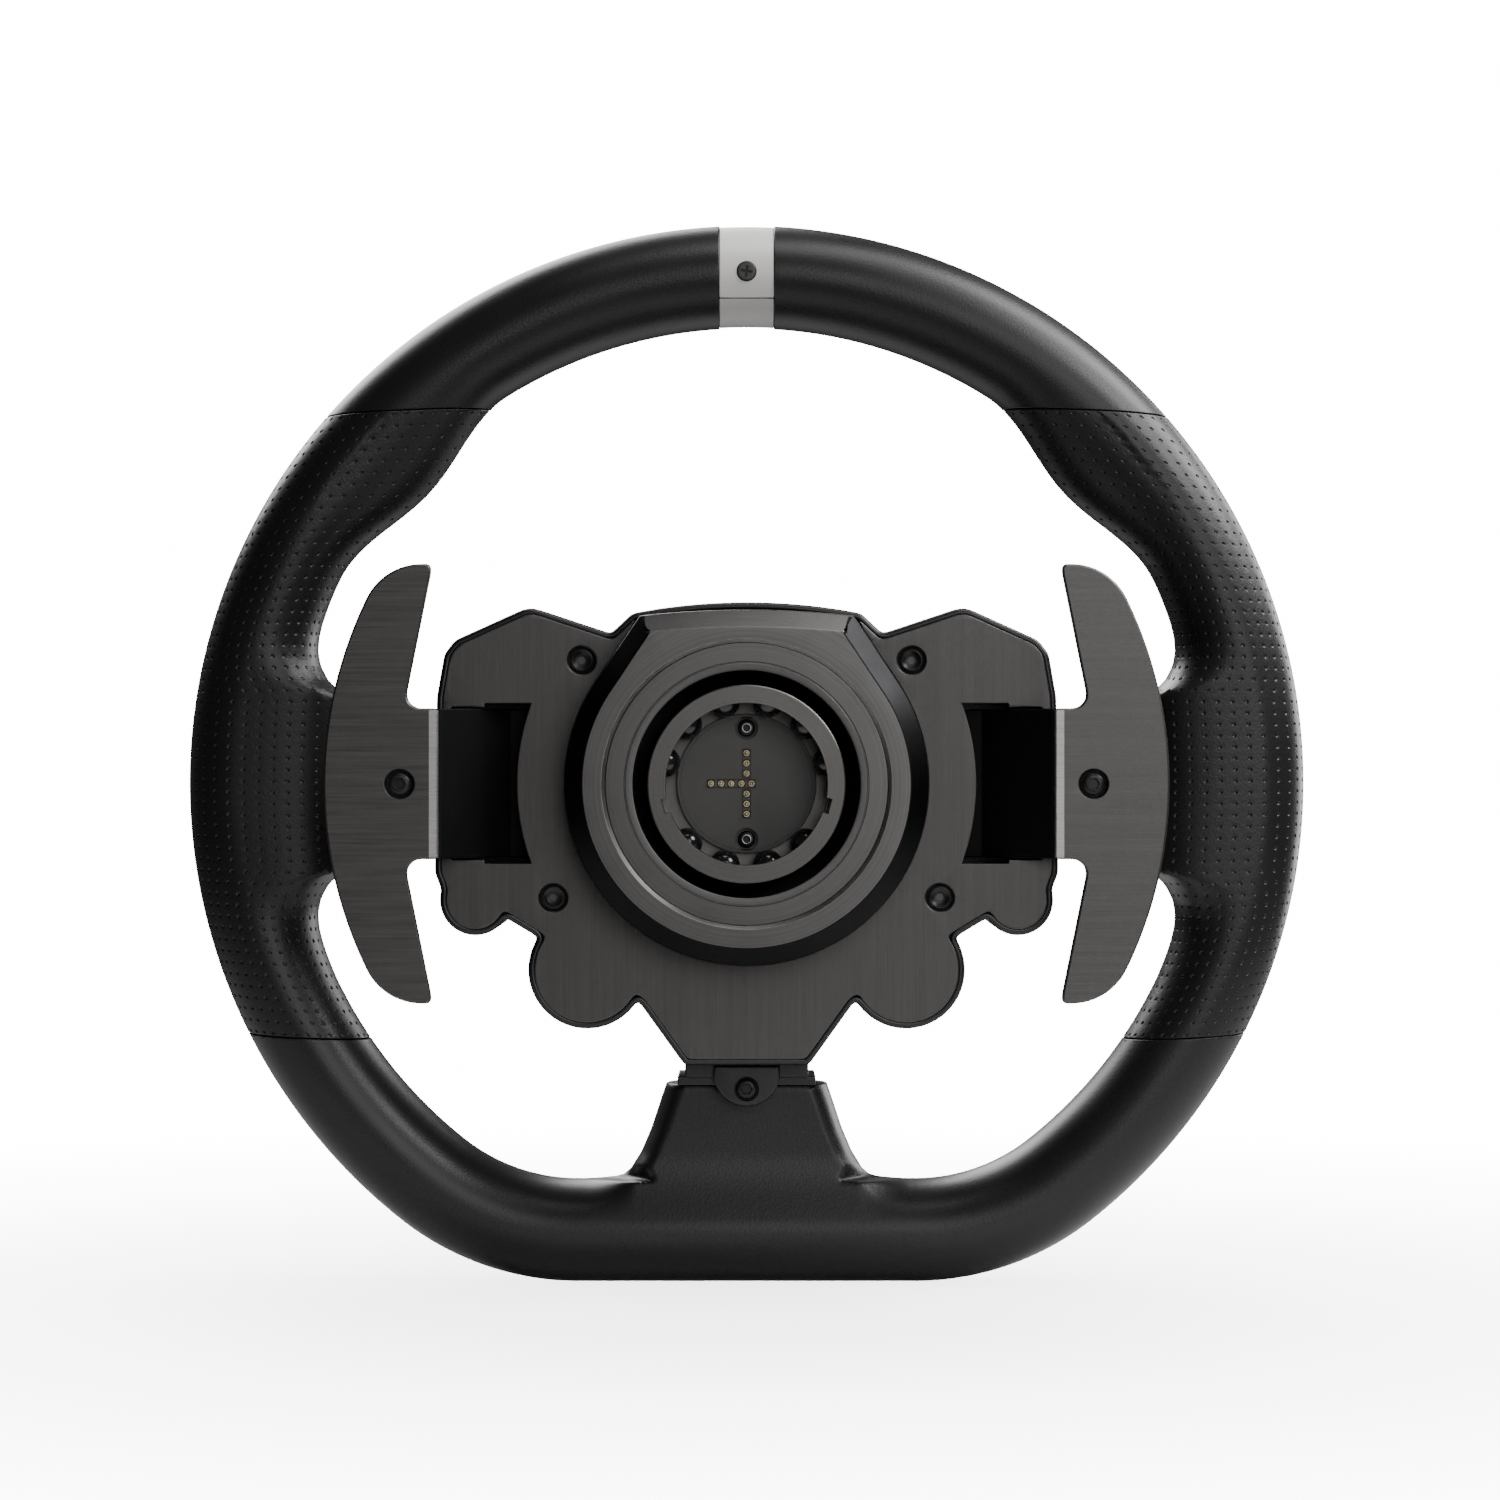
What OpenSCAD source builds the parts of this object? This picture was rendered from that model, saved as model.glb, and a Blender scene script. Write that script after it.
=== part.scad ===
// Racing wheel for a driving simulator: a D-shaped rim on a hub with shift paddles,
// buttons and dials, and a ball-lock quick release that carries the signals by spring pins.
//
// Row frame: +X is the driver's right, +Y points rearward to the wheel base, +Z is up.
// The origin is the centre of the quick-release socket at its mouth. Shapes are drawn in
// bench coordinates (x, up, depth), where depth grows from the mouth towards the driver.

/* [Rim] */
// Outside radius of the round part of the rim
rim_r = 150; // [147:0.5:155]
// Width of the rim's tube, measured towards the axis
tube_w = 27.6; // [26:0.2:30]
// Front-to-back thickness of the rim's tube
tube_d = 32; // [30:0.5:34]
// Distance from the axis down to the flat bottom of the rim
flat_r = 134.2; // [132:0.2:137]
// Centreline radius of the two bottom corners
corner_r = 63; // [58:1:66]
// Depth of the rim's middle plane behind the socket's mouth
rim_depth = 52; // [50:0.5:54]
// Height of the thumb rest above the plain tube
thumb_h = 6.8; // [0:0.2:9]
// Width of the centre stripe
stripe_w = 14.8; // [10:0.2:20]

/* [Hub] */
// Depth of the rear plate's outer face
plate_depth = 24; // [24:0.5:25]
// Thickness of the rear plate
plate_t = 3; // [2.5:0.5:3]
// Depth of the hub's front face
front_depth = 66; // [66:0.5:68]
// Wall thickness of the front housing
wall = 2.4; // [2:0.2:2.8]
// Black border left round the rear plate
border = 1.5; // [1:0.1:2]

/* [Quick release] */
// Radius of the socket's guide bore
bore_r = 21; // [20.5:0.1:21]
// Radius of the release sleeve's round lower half
sleeve_r = 47.3; // [46:0.1:48]
// Travel of the release sleeve
sleeve_travel = 6; // [5:0.5:6]
// Diameter of a locking ball
ball_d = 8; // [7.6:0.1:8]
// Pitch of the contact pins
pin_pitch = 2.66; // [2.54:0.01:2.7]

/* [Paddles] */
// Half the height of a shift paddle's blade
paddle_h = 57.3; // [54:0.1:60]
// Farthest reach of a blade from the axis
paddle_reach = 110.2; // [108:0.2:112]
// Sheet thickness of a paddle
paddle_t = 3; // [2.5:0.5:3]
// Depth of a blade's rear face
paddle_depth = 11; // [10.5:0.5:12]

/* [Controls] */
// Radius of a rotary dial's knob
dial_r = 12.4; // [10:0.2:13]
// Height of a dial above the front face
dial_h = 9; // [6:0.5:12]

/* [Hidden] */
$fn = 64;
eps = 0.01;
big = 400;
fit = 0.05; // clearance of a seated piece
gap = 0.3; // clearance of a moving piece

// Rim path
rim_c = rim_r - tube_w / 2;
flat_c = flat_r - tube_w / 2;
corner_x = sqrt(pow(rim_c - corner_r, 2) - pow(flat_c - corner_r, 2));
corner_y = -(flat_c - corner_r);
corner_a = atan2(corner_y, corner_x);
core_r = 7;
thumb_a = 42.5; // direction of the thumb rest
thumb_span = 13.5; // half the angle it covers
top_seam = [91, 99.2]; // middle of the seam over the right grip
low_seam = [118, -67.8]; // middle of the seam under the right grip
seam_tilt = 2.8;
stripe_split = 19.7; // from the rim's outside to the stripe's joint
stripe_slim = 0.5; // how far the stripe lies below the covers
stripe_screw_r = 137.4;

// Spokes
spoke_h = 34;
spoke_t = 8;
spoke_depth = rim_depth - spoke_t / 2;
spoke_end = 126;
root_h = 46;
root_t = 19;
root_x = 106;
root_fillet = 13;

// Hub outline
hub_top = 47.8;
hub_arch_r = 158;
shoulder = [30.2, 44.4]; // where the arch ends
lobe_p = [42, -49.1];
lobe_r = 15.6;
thumb_lobe_p = [71.5, -30.7];
thumb_lobe_r = 9.4;
hub_foot = -74.3;
neck_half = 16.4;
neck_end = -78.1;
neck_depth = 36;
collar_half = 18.4;
collar_end = -80.4;
plate_hole = 0.5; // gap round the release sleeve
crown_half = 29; // where the plate stops beside the arch
plate_screw_p = [[43.4, 32.4], [50.9, -30]];

// Frame and boards inside the hub
frame_depth = 44;
frame_t = 6;
board_depth = 56.5;
board_t = 1.6;
switch_h = 2;
skin_depth = front_depth - wall;

// Lower spoke, its half-round tab and the flare of the bottom cover
lower_half = 13.4;
spoke_bolt_y = -45;
tab_r = 8.7;
tab_p = [0, -77.6];
tab_top = -75.6;
tab_depth = 34;
tab_screw = -81.2;
flare_t = 21;

// Quick release
mouth_l = 9; // length of the guide bore
relief_r = bore_r + 0.6;
floor_depth = 20;
floor_t = 4;
socket_r = 25.6;
flange_r = 36;
flange_t = 5;
ball_depth = 14;
ball_c = bore_r + 1;
ball_reach = 3.05; // how far a ball moves outwards
ball_ratio = ball_reach / sleeve_travel;
ball_angles = [15, 45, 75, 105, 135, 165, 225, 255, 285, 315];
key_angles = [195, 345];
cam_a = atan(ball_ratio);
cam_depth = ball_depth + sin(cam_a) * ball_d / 2;
cam_r = ball_c + cos(cam_a) * ball_d / 2 + gap;
land_r = ball_c + ball_d / 2 + gap;
lip_r = 29.4;
ring_r = 36.6;
ring_depth = 1.2;
ring_end = 22;
sleeve_depth = 2;
sleeve_chamfer = 4.6;
sleeve_slope = 5;
sleeve_top = 45.2;
sleeve_arch_r = 250;
sleeve_corner = [27.7, 43.7];
spring_r = 32.6;
wire_r = 1;
spring_turns = 4;
plug_r = 18.3;
plug_t = 3;
plug_screw_p = 14.6;
socket_bolts = 6;
socket_bolt_p = 31;

// Paddles: a blade on a carrier that bends down through a slot in the rear plate
stub_x = 80.3;
arm_half = 19.6;
arm_t = 2.4;
foot_depth = 31.5;
pivot_x = 47;
pivot_depth = 37;
pivot_r = 2;
barrel_r = 5;
barrel_half = 15;
slot_r = 60.5;
slot_step = 69;
slot_out = 78;
paddle_screw_p = 90.4;
tip_round = 16; // rounds each tip's outer corner into the outer arc
tip_p = [sqrt(pow(paddle_reach - tip_round, 2) - pow(paddle_h - tip_round, 2)), paddle_h - tip_round];
magnet_x = 55;

// Controls
ear_key_p = [61.5, 31];
pad_p = [-61, 1];
action_p = [61, 1];
action_off = 9;
action_r = 4.7;
thumb_button_r = 5.2;
home_p = [0, -57];
home_r = 5.5;
pad_r = 12.5;
proud = 2;
cap_r = 27;
cap_p = [0, 6];
shaft_r = 3;
gimbal_depth = front_depth + 2.6;
gimbal_r = 1.2;
gimbal_ear = 4.6; // from the pad's centre to the middle of an ear
pad_depth = front_depth + 1.8;
pad_end = front_depth + 7;

// ---- Helpers ----

// Turns bench coordinates (x, up, depth) into the row frame
module bench() rotate([90, 0, 0]) children();

// A plate from depth a to depth b
module slab(a, b) translate([0, 0, a]) linear_extrude(b - a) children();

// Both hands of a shape drawn for the driver's right side
module both() {
    children();
    mirror([1, 0, 0]) children();
}

// A round pin between two depths
module pin(p, r, a, b) translate([p.x, p.y, a]) cylinder(h = b - a, r = r);

// Rounds the outward corners of a flat shape by r and its inward corners by c
module soften(r, c) offset(r = -c) offset(delta = c) offset(r = r) offset(delta = -r) children();

// ---- Rim ----

// The tube's section: an oval made of two half rounds
module tube_section(inset = 0) {
    r = tube_w / 2 - inset;
    off = (tube_d - tube_w) / 2;
    for (s = [-1, 1]) translate([0, s * off]) circle(r);
    square([2 * r, 2 * off], center = true);
}

// Stands a section across the path at p, facing along direction a
module across(p, a, l) translate([p.x, p.y, rim_depth]) rotate(a) rotate([90, 0, 0])
    translate([0, 0, -l / 2]) linear_extrude(l) children();

// Sweeps a section round the whole D-shaped path. The second child is a slightly
// smaller section for the four short splices that join the stretches.
module rim_path() {
    translate([0, 0, rim_depth]) rotate(corner_a + eps)
        rotate_extrude(angle = 180 - 2 * corner_a - 2 * eps) translate([rim_c, 0]) children(0);
    both() {
        translate([corner_x, corner_y, rim_depth]) rotate(-90)
            rotate_extrude(angle = corner_a + 90) translate([corner_r, 0]) children(0);
        across([rim_c * cos(corner_a), rim_c * sin(corner_a)], corner_a, 3) children(1);
        across([corner_x, -flat_c], -90, 3) children(1);
    }
    across([0, -flat_c], -90, 2 * corner_x - 2 * eps) children(0);
}

// The half space above a seam on the right side, tilted by a
module above_seam(p, a) translate([p.x, p.y, 0]) rotate(a)
    translate([-big, 0, -big]) cube([2 * big, big, 2 * big]);

// Everything on the driver's right of a plane
module right_of(x) translate([x, -big, -big]) cube([big, 2 * big, 2 * big]);

module rim_core() color("silver") bench() difference() {
    union() {
        rim_path() {
            circle(core_r);
            circle(core_r - 0.1);
        }
        both() translate([spoke_end, -spoke_h / 2, spoke_depth])
            cube([rim_c - spoke_end, spoke_h, spoke_t]);
        translate([-lower_half, -flat_c, spoke_depth]) cube([2 * lower_half, 9, spoke_t]);
    }
    pin([0, stripe_screw_r], 1.3, rim_depth - core_r - 1, rim_depth);
}

module round_tube(inset, a, b) translate([0, 0, rim_depth]) rotate(a)
    rotate_extrude(angle = b - a) translate([rim_c, 0]) tube_section(inset);

module core_bore() translate([0, 0, rim_depth]) rotate_extrude()
    translate([rim_c, 0]) circle(core_r + fit);

module top_cover() color([0.1, 0.1, 0.1]) bench() difference() {
    intersection() {
        round_tube(0, 30, 92);
        above_seam(top_seam, -seam_tilt);
        right_of(stripe_w / 2);
    }
    core_bore();
}

module right_top_cover() top_cover();
module left_top_cover() mirror([1, 0, 0]) top_cover();

// The thumb rest: a length of tube that curves the other way
module thumb_rest() {
    r = tube_w / 2 - 0.4;
    c = rim_r - tube_w - thumb_h + r;
    meet = [rim_c * cos(thumb_span), rim_c * sin(thumb_span)];
    bow = (pow(meet.y, 2) + pow(meet.x - c, 2)) / (2 * (meet.x - c));
    reach = asin(meet.y / bow) + 1;
    rotate(thumb_a) translate([c + bow, 0, rim_depth]) rotate(180 - reach)
        rotate_extrude(angle = 2 * reach) translate([bow, 0]) tube_section(0.4);
}

// The padding over the spoke's root
module grip_root() slab(rim_depth - root_t / 2, rim_depth + root_t / 2) intersection() {
    offset(r = -root_fillet) offset(delta = root_fillet) {
        difference() {
            circle(rim_c, $fn = 180);
            circle(rim_r - tube_w + 1, $fn = 180);
        }
        translate([root_x - 30, -root_h / 2]) square([60, root_h]);
    }
    translate([root_x, -60]) square([rim_c - root_x, 120]);
}

module grip() color([0.07, 0.07, 0.07]) bench() difference() {
    union() {
        round_tube(0, -40, 62);
        thumb_rest();
        grip_root();
    }
    above_seam(top_seam, -seam_tilt);
    rotate([180, 0, 0]) above_seam([low_seam.x, -low_seam.y], -seam_tilt);
    core_bore();
    translate([0, -spoke_h / 2 - fit, spoke_depth - fit])
        cube([rim_c, spoke_h + 2 * fit, spoke_t + 2 * fit]);
}

module right_grip() grip();
module left_grip() mirror([1, 0, 0]) grip();

// The half-round tab seen flat, grown by c
module tab_flat(c = 0) intersection() {
    translate(tab_p) circle(tab_r + c);
    translate([-big, tab_top + c - big]) square([2 * big, big]);
}

// The flare that joins the flat bottom to the neck
module flare_flat() {
    y0 = -flat_c;
    y1 = collar_end - 0.1;
    soften(0, 14) {
        translate([-21.6, y0]) square([43.2, y1 - y0]);
        polygon([[-21.6, y1], [21.6, y1], [29.5, y0 + tube_w / 2 + 5], [44, y0 + tube_w / 2 - 2], [44, y0],
            [-44, y0], [-44, y0 + tube_w / 2 - 2], [-29.5, y0 + tube_w / 2 + 5]]);
    }
}

module bottom_cover() color([0.09, 0.09, 0.09]) bench() difference() {
    union() {
        rim_path() {
            difference() {
                tube_section();
                circle(core_r + fit);
            }
            difference() {
                tube_section(0.1);
                circle(core_r + 4 * fit);
            }
        }
        difference() {
            slab(rim_depth - flare_t / 2, rim_depth + flare_t / 2) flare_flat();
            across([0, -flat_c], -90, 100) circle(core_r + 6 * fit);
        }
    }
    both() intersection() {
        above_seam(low_seam, seam_tilt);
        right_of(0);
    }
    translate([-lower_half - fit, -flat_c, spoke_depth - fit])
        cube([2 * lower_half + 2 * fit, flat_c, spoke_t + 2 * fit]);
    slab(tab_depth - 1, spoke_depth) tab_flat(fit);
}

module stripe() difference() {
    intersection() {
        round_tube(stripe_slim, 80, 100);
        translate([-stripe_w / 2 + fit, 0, 0]) cube([stripe_w - 2 * fit, big, big]);
    }
    core_bore();
}

module stripe_parting(c) translate([0, 0, -1]) cylinder(h = big, r = rim_r - stripe_split + c, $fn = 180);

module stripe_outer() color([0.75, 0.75, 0.75]) bench() difference() {
    stripe();
    stripe_parting(fit);
    pin([0, stripe_screw_r], 2.55, 0, rim_depth - tube_d / 2 + 2.5);
    pin([0, stripe_screw_r], 1.35, 0, rim_depth);
}

module stripe_inner() color([0.6, 0.6, 0.6]) bench() intersection() {
    stripe();
    stripe_parting(-fit);
}

module stripe_screw() color([0.05, 0.05, 0.05]) bench() difference() {
    a = rim_depth - tube_d / 2 + 0.6;
    union() {
        pin([0, stripe_screw_r], 2.5, a, a + 1.9);
        pin([0, stripe_screw_r], 1.25, a, rim_depth - 1);
    }
    for (t = [0, 90]) translate([0, stripe_screw_r, a]) rotate(t + 20) cube([3, 0.7, 2], center = true);
}

// ---- Hub housing and plate ----

// The hub's outline down to its foot
module hub_flat() soften(1.2, 2) {
    both() polygon([[0, 0], [0, 43], shoulder, [35.8, 39.6], [54.6, 45.7], [58.4, 46], [76.9, 37.8],
        [79.7, 34.2], [81.7, 22.7], [82.2, -23.7], [80.3, -28], thumb_lobe_p, [62, -36.4],
        [55.7, -40.2], lobe_p, [28.2, -57.9], [neck_half, hub_foot], [0, hub_foot]]);
    intersection() {
        translate([0, hub_top - hub_arch_r]) circle(hub_arch_r, $fn = 240);
        translate([-shoulder.x, 0]) square([2 * shoulder.x, 60]);
    }
    both() translate(lobe_p) circle(lobe_r);
    both() translate(thumb_lobe_p) circle(thumb_lobe_r);
}

module plate_flat(c = 0) difference() {
    offset(delta = c - border) hub_flat();
    translate([-crown_half + c, 30]) square([2 * crown_half - 2 * c, 30]);
}

// The release sleeve's outline: a circle with a cropped, arched top
module sleeve_flat(c = 0) intersection() {
    hull() {
        circle(sleeve_r + c, $fn = 120);
        both() translate(sleeve_corner) translate([c / 3, c]) circle(eps);
    }
    translate([0, sleeve_top - sleeve_arch_r]) circle(sleeve_arch_r + c, $fn = 360);
}

// The slot that a paddle's carrier passes through
module paddle_slot() difference() {
    union() {
        translate([40, -21.1]) square([slot_step - 40, 42.2]);
        translate([slot_step - 1, -20.1]) square([slot_out - slot_step + 1, 40.2]);
    }
    circle(slot_r, $fn = 120);
}

module rear_plate() color([0.3, 0.3, 0.29]) bench() difference() {
    slab(plate_depth, plate_depth + plate_t) plate_flat(-fit);
    slab(plate_depth - 1, plate_depth + plate_t + 1) sleeve_flat(plate_hole);
    both() slab(plate_depth - 1, plate_depth + plate_t + 1) paddle_slot();
    both() for (p = plate_screw_p) {
        pin(p, 1.6, plate_depth - 1, plate_depth + plate_t + 1);
        pin(p, 3.9, plate_depth - 1, plate_depth + 1.2);
    }
}

module plate_screws() color([0.08, 0.08, 0.08]) bench() both() for (p = plate_screw_p) difference() {
    union() {
        pin(p, 2.8, plate_depth - 0.2, plate_depth + 1.2);
        pin(p, 1.5, plate_depth, plate_depth + 12);
    }
    translate([p.x, p.y, plate_depth - 0.5]) cylinder(h = 1.3, r = 1.2, $fn = 6);
}

module ear_key_flat(c = 0) offset(r = 2 + c) offset(delta = -2)
    polygon([[-13, -2.5], [-10, 5.5], [2, 8], [12, 4], [14, -4], [8, -5.5]]);

module front_housing() color([0.04, 0.04, 0.04]) bench() difference() {
    union() {
        slab(plate_depth, front_depth) hub_flat();
        translate([-neck_half, neck_end, neck_depth]) cube([2 * neck_half, 10, 26]);
        translate([-collar_half, collar_end, neck_depth + 2])
            cube([2 * collar_half, neck_end - collar_end, 23]);
        translate([pad_p.x, pad_p.y, 0]) gimbal_ears(front_depth - 1);
    }
    slab(plate_depth - 1, plate_depth + plate_t) plate_flat(0);
    slab(plate_depth - 1, plate_depth + 8) sleeve_flat(plate_hole);
    difference() {
        slab(plate_depth + plate_t - 1, skin_depth) offset(delta = -wall) hub_flat();
        both() for (p = plate_screw_p) pin(p, 4, plate_depth + plate_t, front_depth);
    }
    both() for (p = plate_screw_p) pin(p, 1.5, plate_depth, plate_depth + 13);
    both() translate([60, -spoke_h / 2 - fit, spoke_depth - fit])
        cube([40, spoke_h + 2 * fit, spoke_t + 2 * fit]);
    translate([-lower_half - fit, -100, spoke_depth - fit])
        cube([2 * lower_half + 2 * fit, 60, spoke_t + 2 * fit]);
    slab(tab_depth - 1, spoke_depth) tab_flat(fit);
    for (s = [-1, 1]) pin([s * lobe_p.x, lobe_p.y], shaft_r + fit, skin_depth - 1, big);
    for (s = [-1, 1]) pin([s * thumb_lobe_p.x, thumb_lobe_p.y], thumb_button_r + gap, skin_depth - 1, big);
    both() slab(skin_depth - 1, front_depth + 1) translate(ear_key_p) ear_key_flat(gap);
    for (d = [[0, 1], [1, 0], [0, -1], [-1, 0]])
        pin(action_p + action_off * d, action_r + gap, skin_depth - 1, big);
    pin(home_p, home_r + gap, skin_depth - 1, big);
}

// ---- Frame ----

module pivot_lug(c) translate([pivot_x, c, 0]) rotate([-90, 0, 0]) linear_extrude(5) difference() {
    union() {
        translate([0, -pivot_depth]) circle(barrel_r);
        translate([-barrel_r, -frame_depth - 1]) square([2 * barrel_r, frame_depth + 1 - pivot_depth]);
    }
    translate([0, -pivot_depth]) circle(pivot_r + fit);
}

module hub_frame() color([0.2, 0.2, 0.21]) bench() difference() {
    union() {
        slab(frame_depth, frame_depth + frame_t) {
            circle(38);
            square([108, 44], center = true);
            translate([-lower_half - 4, -52]) square([2 * lower_half + 8, 40]);
        }
        both() translate([42, -spoke_h / 2, spoke_depth])
            cube([spoke_end - 42, spoke_h, spoke_t]);
        both() pivot_lug(barrel_half + gap);
        both() pivot_lug(-barrel_half - gap - 5);
    }
    pin([0, 0], 20, 0, big);
    translate([-lower_half - fit, -100, spoke_depth - fit]) cube([2 * lower_half + 2 * fit, 62, big]);
    for (i = [0 : socket_bolts - 1]) rotate(30 + 360 / socket_bolts * i) {
        pin([socket_bolt_p, 0], 1.6, 0, big);
        pin([socket_bolt_p, 0], 2.85, frame_depth + frame_t - 2.4, big);
    }
    for (s = [-1, 1]) pin([s * 8, spoke_bolt_y], 1.5, 0, big);
}

module lower_spoke() color([0.2, 0.2, 0.21]) bench() difference() {
    union() {
        translate([-lower_half, -flat_c + 9 + fit, spoke_depth])
            cube([2 * lower_half, flat_c - 9 - 38 - 2 * fit, spoke_t]);
        slab(tab_depth, spoke_depth + eps) tab_flat();
    }
    pin([0, tab_screw], 3.15, 0, tab_depth + 3);
    pin([0, tab_screw], 1.55, 0, spoke_depth + 4);
    for (s = [-1, 1]) {
        pin([s * 8, spoke_bolt_y], 1.5, 0, big);
        pin([s * 8, spoke_bolt_y], 2.85, spoke_depth + spoke_t - 2.9, big);
    }
}

module lower_spoke_screw() color([0.1, 0.1, 0.1]) bench() difference() {
    union() {
        pin([0, tab_screw], 3.1, tab_depth - 0.2, tab_depth + 3);
        pin([0, tab_screw], 1.5, tab_depth, spoke_depth + 3.8);
    }
    translate([0, tab_screw, tab_depth - 1]) cylinder(h = 2.4, r = 1.7, $fn = 6);
}

// ---- Quick release ----

module release_sleeve() color([0.3, 0.3, 0.3]) bench() difference() {
    union() {
        slab(sleeve_depth + sleeve_slope, ring_end) sleeve_flat();
        hull() {
            slab(sleeve_depth, sleeve_depth + eps) sleeve_flat(-sleeve_chamfer);
            slab(sleeve_depth + sleeve_slope - eps, sleeve_depth + sleeve_slope) sleeve_flat();
        }
    }
    pin([0, 0], ring_r + fit, 0, big);
}

module cam_ring() color([0.24, 0.24, 0.24]) bench() difference() {
    step = (lip_r - cam_r) / ball_ratio;
    land = (land_r - cam_r) / ball_ratio;
    rotate_extrude() polygon([
        [lip_r, ring_depth],
        [ring_r - 0.8, ring_depth],
        [ring_r, ring_depth + 0.8],
        [ring_r, ring_end],
        [socket_r + 0.06, ring_end],
        [socket_r + 0.06, ring_end - 3],
        [land_r, ring_end - 3.4],
        [land_r, cam_depth - land],
        [lip_r, cam_depth - step]]);
    difference() {
        pin([0, 0], spring_r + 2, ring_end - 6, ring_end + 1);
        pin([0, 0], spring_r - 2, ring_end - 7, ring_end + 2);
    }
    difference() {
        pin([0, 0], 31.7, 0, ring_depth + 0.3);
        pin([0, 0], 31.3, 0, ring_depth + 1);
    }
}

module qr_socket() color([0.35, 0.35, 0.36]) bench() difference() {
    rotate_extrude() polygon([
        [bore_r, 0],
        [socket_r - 0.3, 0],
        [socket_r, 0.3],
        [socket_r, frame_depth - flange_t],
        [flange_r, frame_depth - flange_t],
        [flange_r, frame_depth],
        [socket_r - 4, frame_depth],
        [socket_r - 4, floor_depth + floor_t],
        [11, floor_depth + floor_t],
        [11, floor_depth],
        [relief_r, floor_depth],
        [relief_r, mouth_l],
        [bore_r, mouth_l]]);
    for (a = ball_angles) rotate(a) translate([0, 0, ball_depth]) rotate([0, 90, 0])
        cylinder(h = 40, r = ball_d / 2 + 0.05);
    for (a = key_angles) rotate(a) translate([bore_r - 2, -2, -1]) cube([3.4, 4, floor_depth - 2]);
    for (i = [0 : socket_bolts - 1]) rotate(30 + 360 / socket_bolts * i)
        pin([socket_bolt_p, 0], 1.5, frame_depth - 4, big);
    for (s = [-1, 1]) pin([0, s * plug_screw_p], 1.25, floor_depth - 1, big);
}

// A bolt whose head lies at depth b and whose shank reaches back to depth a
module bolt(p, a, b) difference() {
    union() {
        pin(p, 2.8, b - 2.8, b);
        pin(p, 1.45, a, b - 1);
    }
    translate([p.x, p.y, b - 1.4]) cylinder(h = 2, r = 1.3, $fn = 6);
}

module frame_bolts() color([0.6, 0.6, 0.6]) bench() {
    for (i = [0 : socket_bolts - 1]) rotate(30 + 360 / socket_bolts * i)
        bolt([socket_bolt_p, 0], frame_depth - 3.5, frame_depth + frame_t + 0.4);
    for (s = [-1, 1]) bolt([s * 8, spoke_bolt_y], frame_depth + 0.5, spoke_depth + spoke_t - 0.1);
}

// A coil spring seated between the cam ring and the socket's flange
module sleeve_spring() color([0.55, 0.55, 0.56]) bench() {
    a = ring_end - 6 + wire_r + 0.02;
    b = frame_depth - flange_t - wire_r - 0.02;
    steps = 30 * spring_turns;
    sides = 8;
    points = [for (i = [0 : steps], k = [0 : sides - 1])
        let (t = 360 * spring_turns * i / steps, u = 360 * k / sides, r = spring_r + wire_r * cos(u))
        [r * cos(t), r * sin(t), a + (b - a) * i / steps + wire_r * sin(u)]];
    skin = [for (i = [0 : steps - 1], k = [0 : sides - 1])
        let (p = i * sides, q = (k + 1) % sides)
        each [[p + k, p + sides + q, p + q], [p + k, p + sides + k, p + sides + q]]];
    first = [for (k = [0 : sides - 1]) k];
    last = [for (k = [sides - 1 : -1 : 0]) steps * sides + k];
    polyhedron(points, concat(skin, [first, last]));
}

module ball(i) color([0.15, 0.15, 0.15]) bench() rotate(ball_angles[i])
    translate([ball_c, 0, ball_depth]) sphere(r = ball_d / 2);

module locking_ball_1() ball(0);
module locking_ball_2() ball(1);
module locking_ball_3() ball(2);
module locking_ball_4() ball(3);
module locking_ball_5() ball(4);
module locking_ball_6() ball(5);
module locking_ball_7() ball(6);
module locking_ball_8() ball(7);
module locking_ball_9() ball(8);
module locking_ball_10() ball(9);

module connector_plug() color([0.28, 0.27, 0.26]) bench() difference() {
    union() {
        pin([0, 0], plug_r, floor_depth - plug_t, floor_depth);
        pin([0, 0], 10.9, floor_depth - eps, floor_depth + floor_t);
    }
    for (p = contact_p()) {
        pin(p, 0.76, 0, big);
        pin(p, 1.1, floor_depth + 1, big);
    }
    for (s = [-1, 1]) {
        pin([0, s * plug_screw_p], 1.35, 0, big);
        pin([0, s * plug_screw_p], 2.9, 0, floor_depth - plug_t + 1.6);
    }
}

function contact_p() = concat(
    [for (i = [1 : 3], s = [-1, 1]) [0, s * i * pin_pitch]],
    [for (i = [-1 : 3]) [(i + 0.5) * pin_pitch, 0]]);

module contact_pins() color([0.85, 0.65, 0.3]) bench() for (p = contact_p()) {
    pin(p, 0.7, floor_depth - plug_t - 2.2, floor_depth + 3);
    pin(p, 1.04, floor_depth + 1.02, floor_depth + 1.6);
}

module connector_screws() color([0.1, 0.1, 0.1]) bench() for (s = [-1, 1]) difference() {
    union() {
        pin([0, s * plug_screw_p], 2.3, floor_depth - plug_t - 0.4, floor_depth - plug_t + 1.6);
        pin([0, s * plug_screw_p], 1.2, floor_depth - plug_t, floor_depth + floor_t);
    }
    translate([0, s * plug_screw_p, floor_depth - plug_t - 1]) cylinder(h = 1.8, r = 1.1, $fn = 6);
}

// ---- Paddles ----

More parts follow.
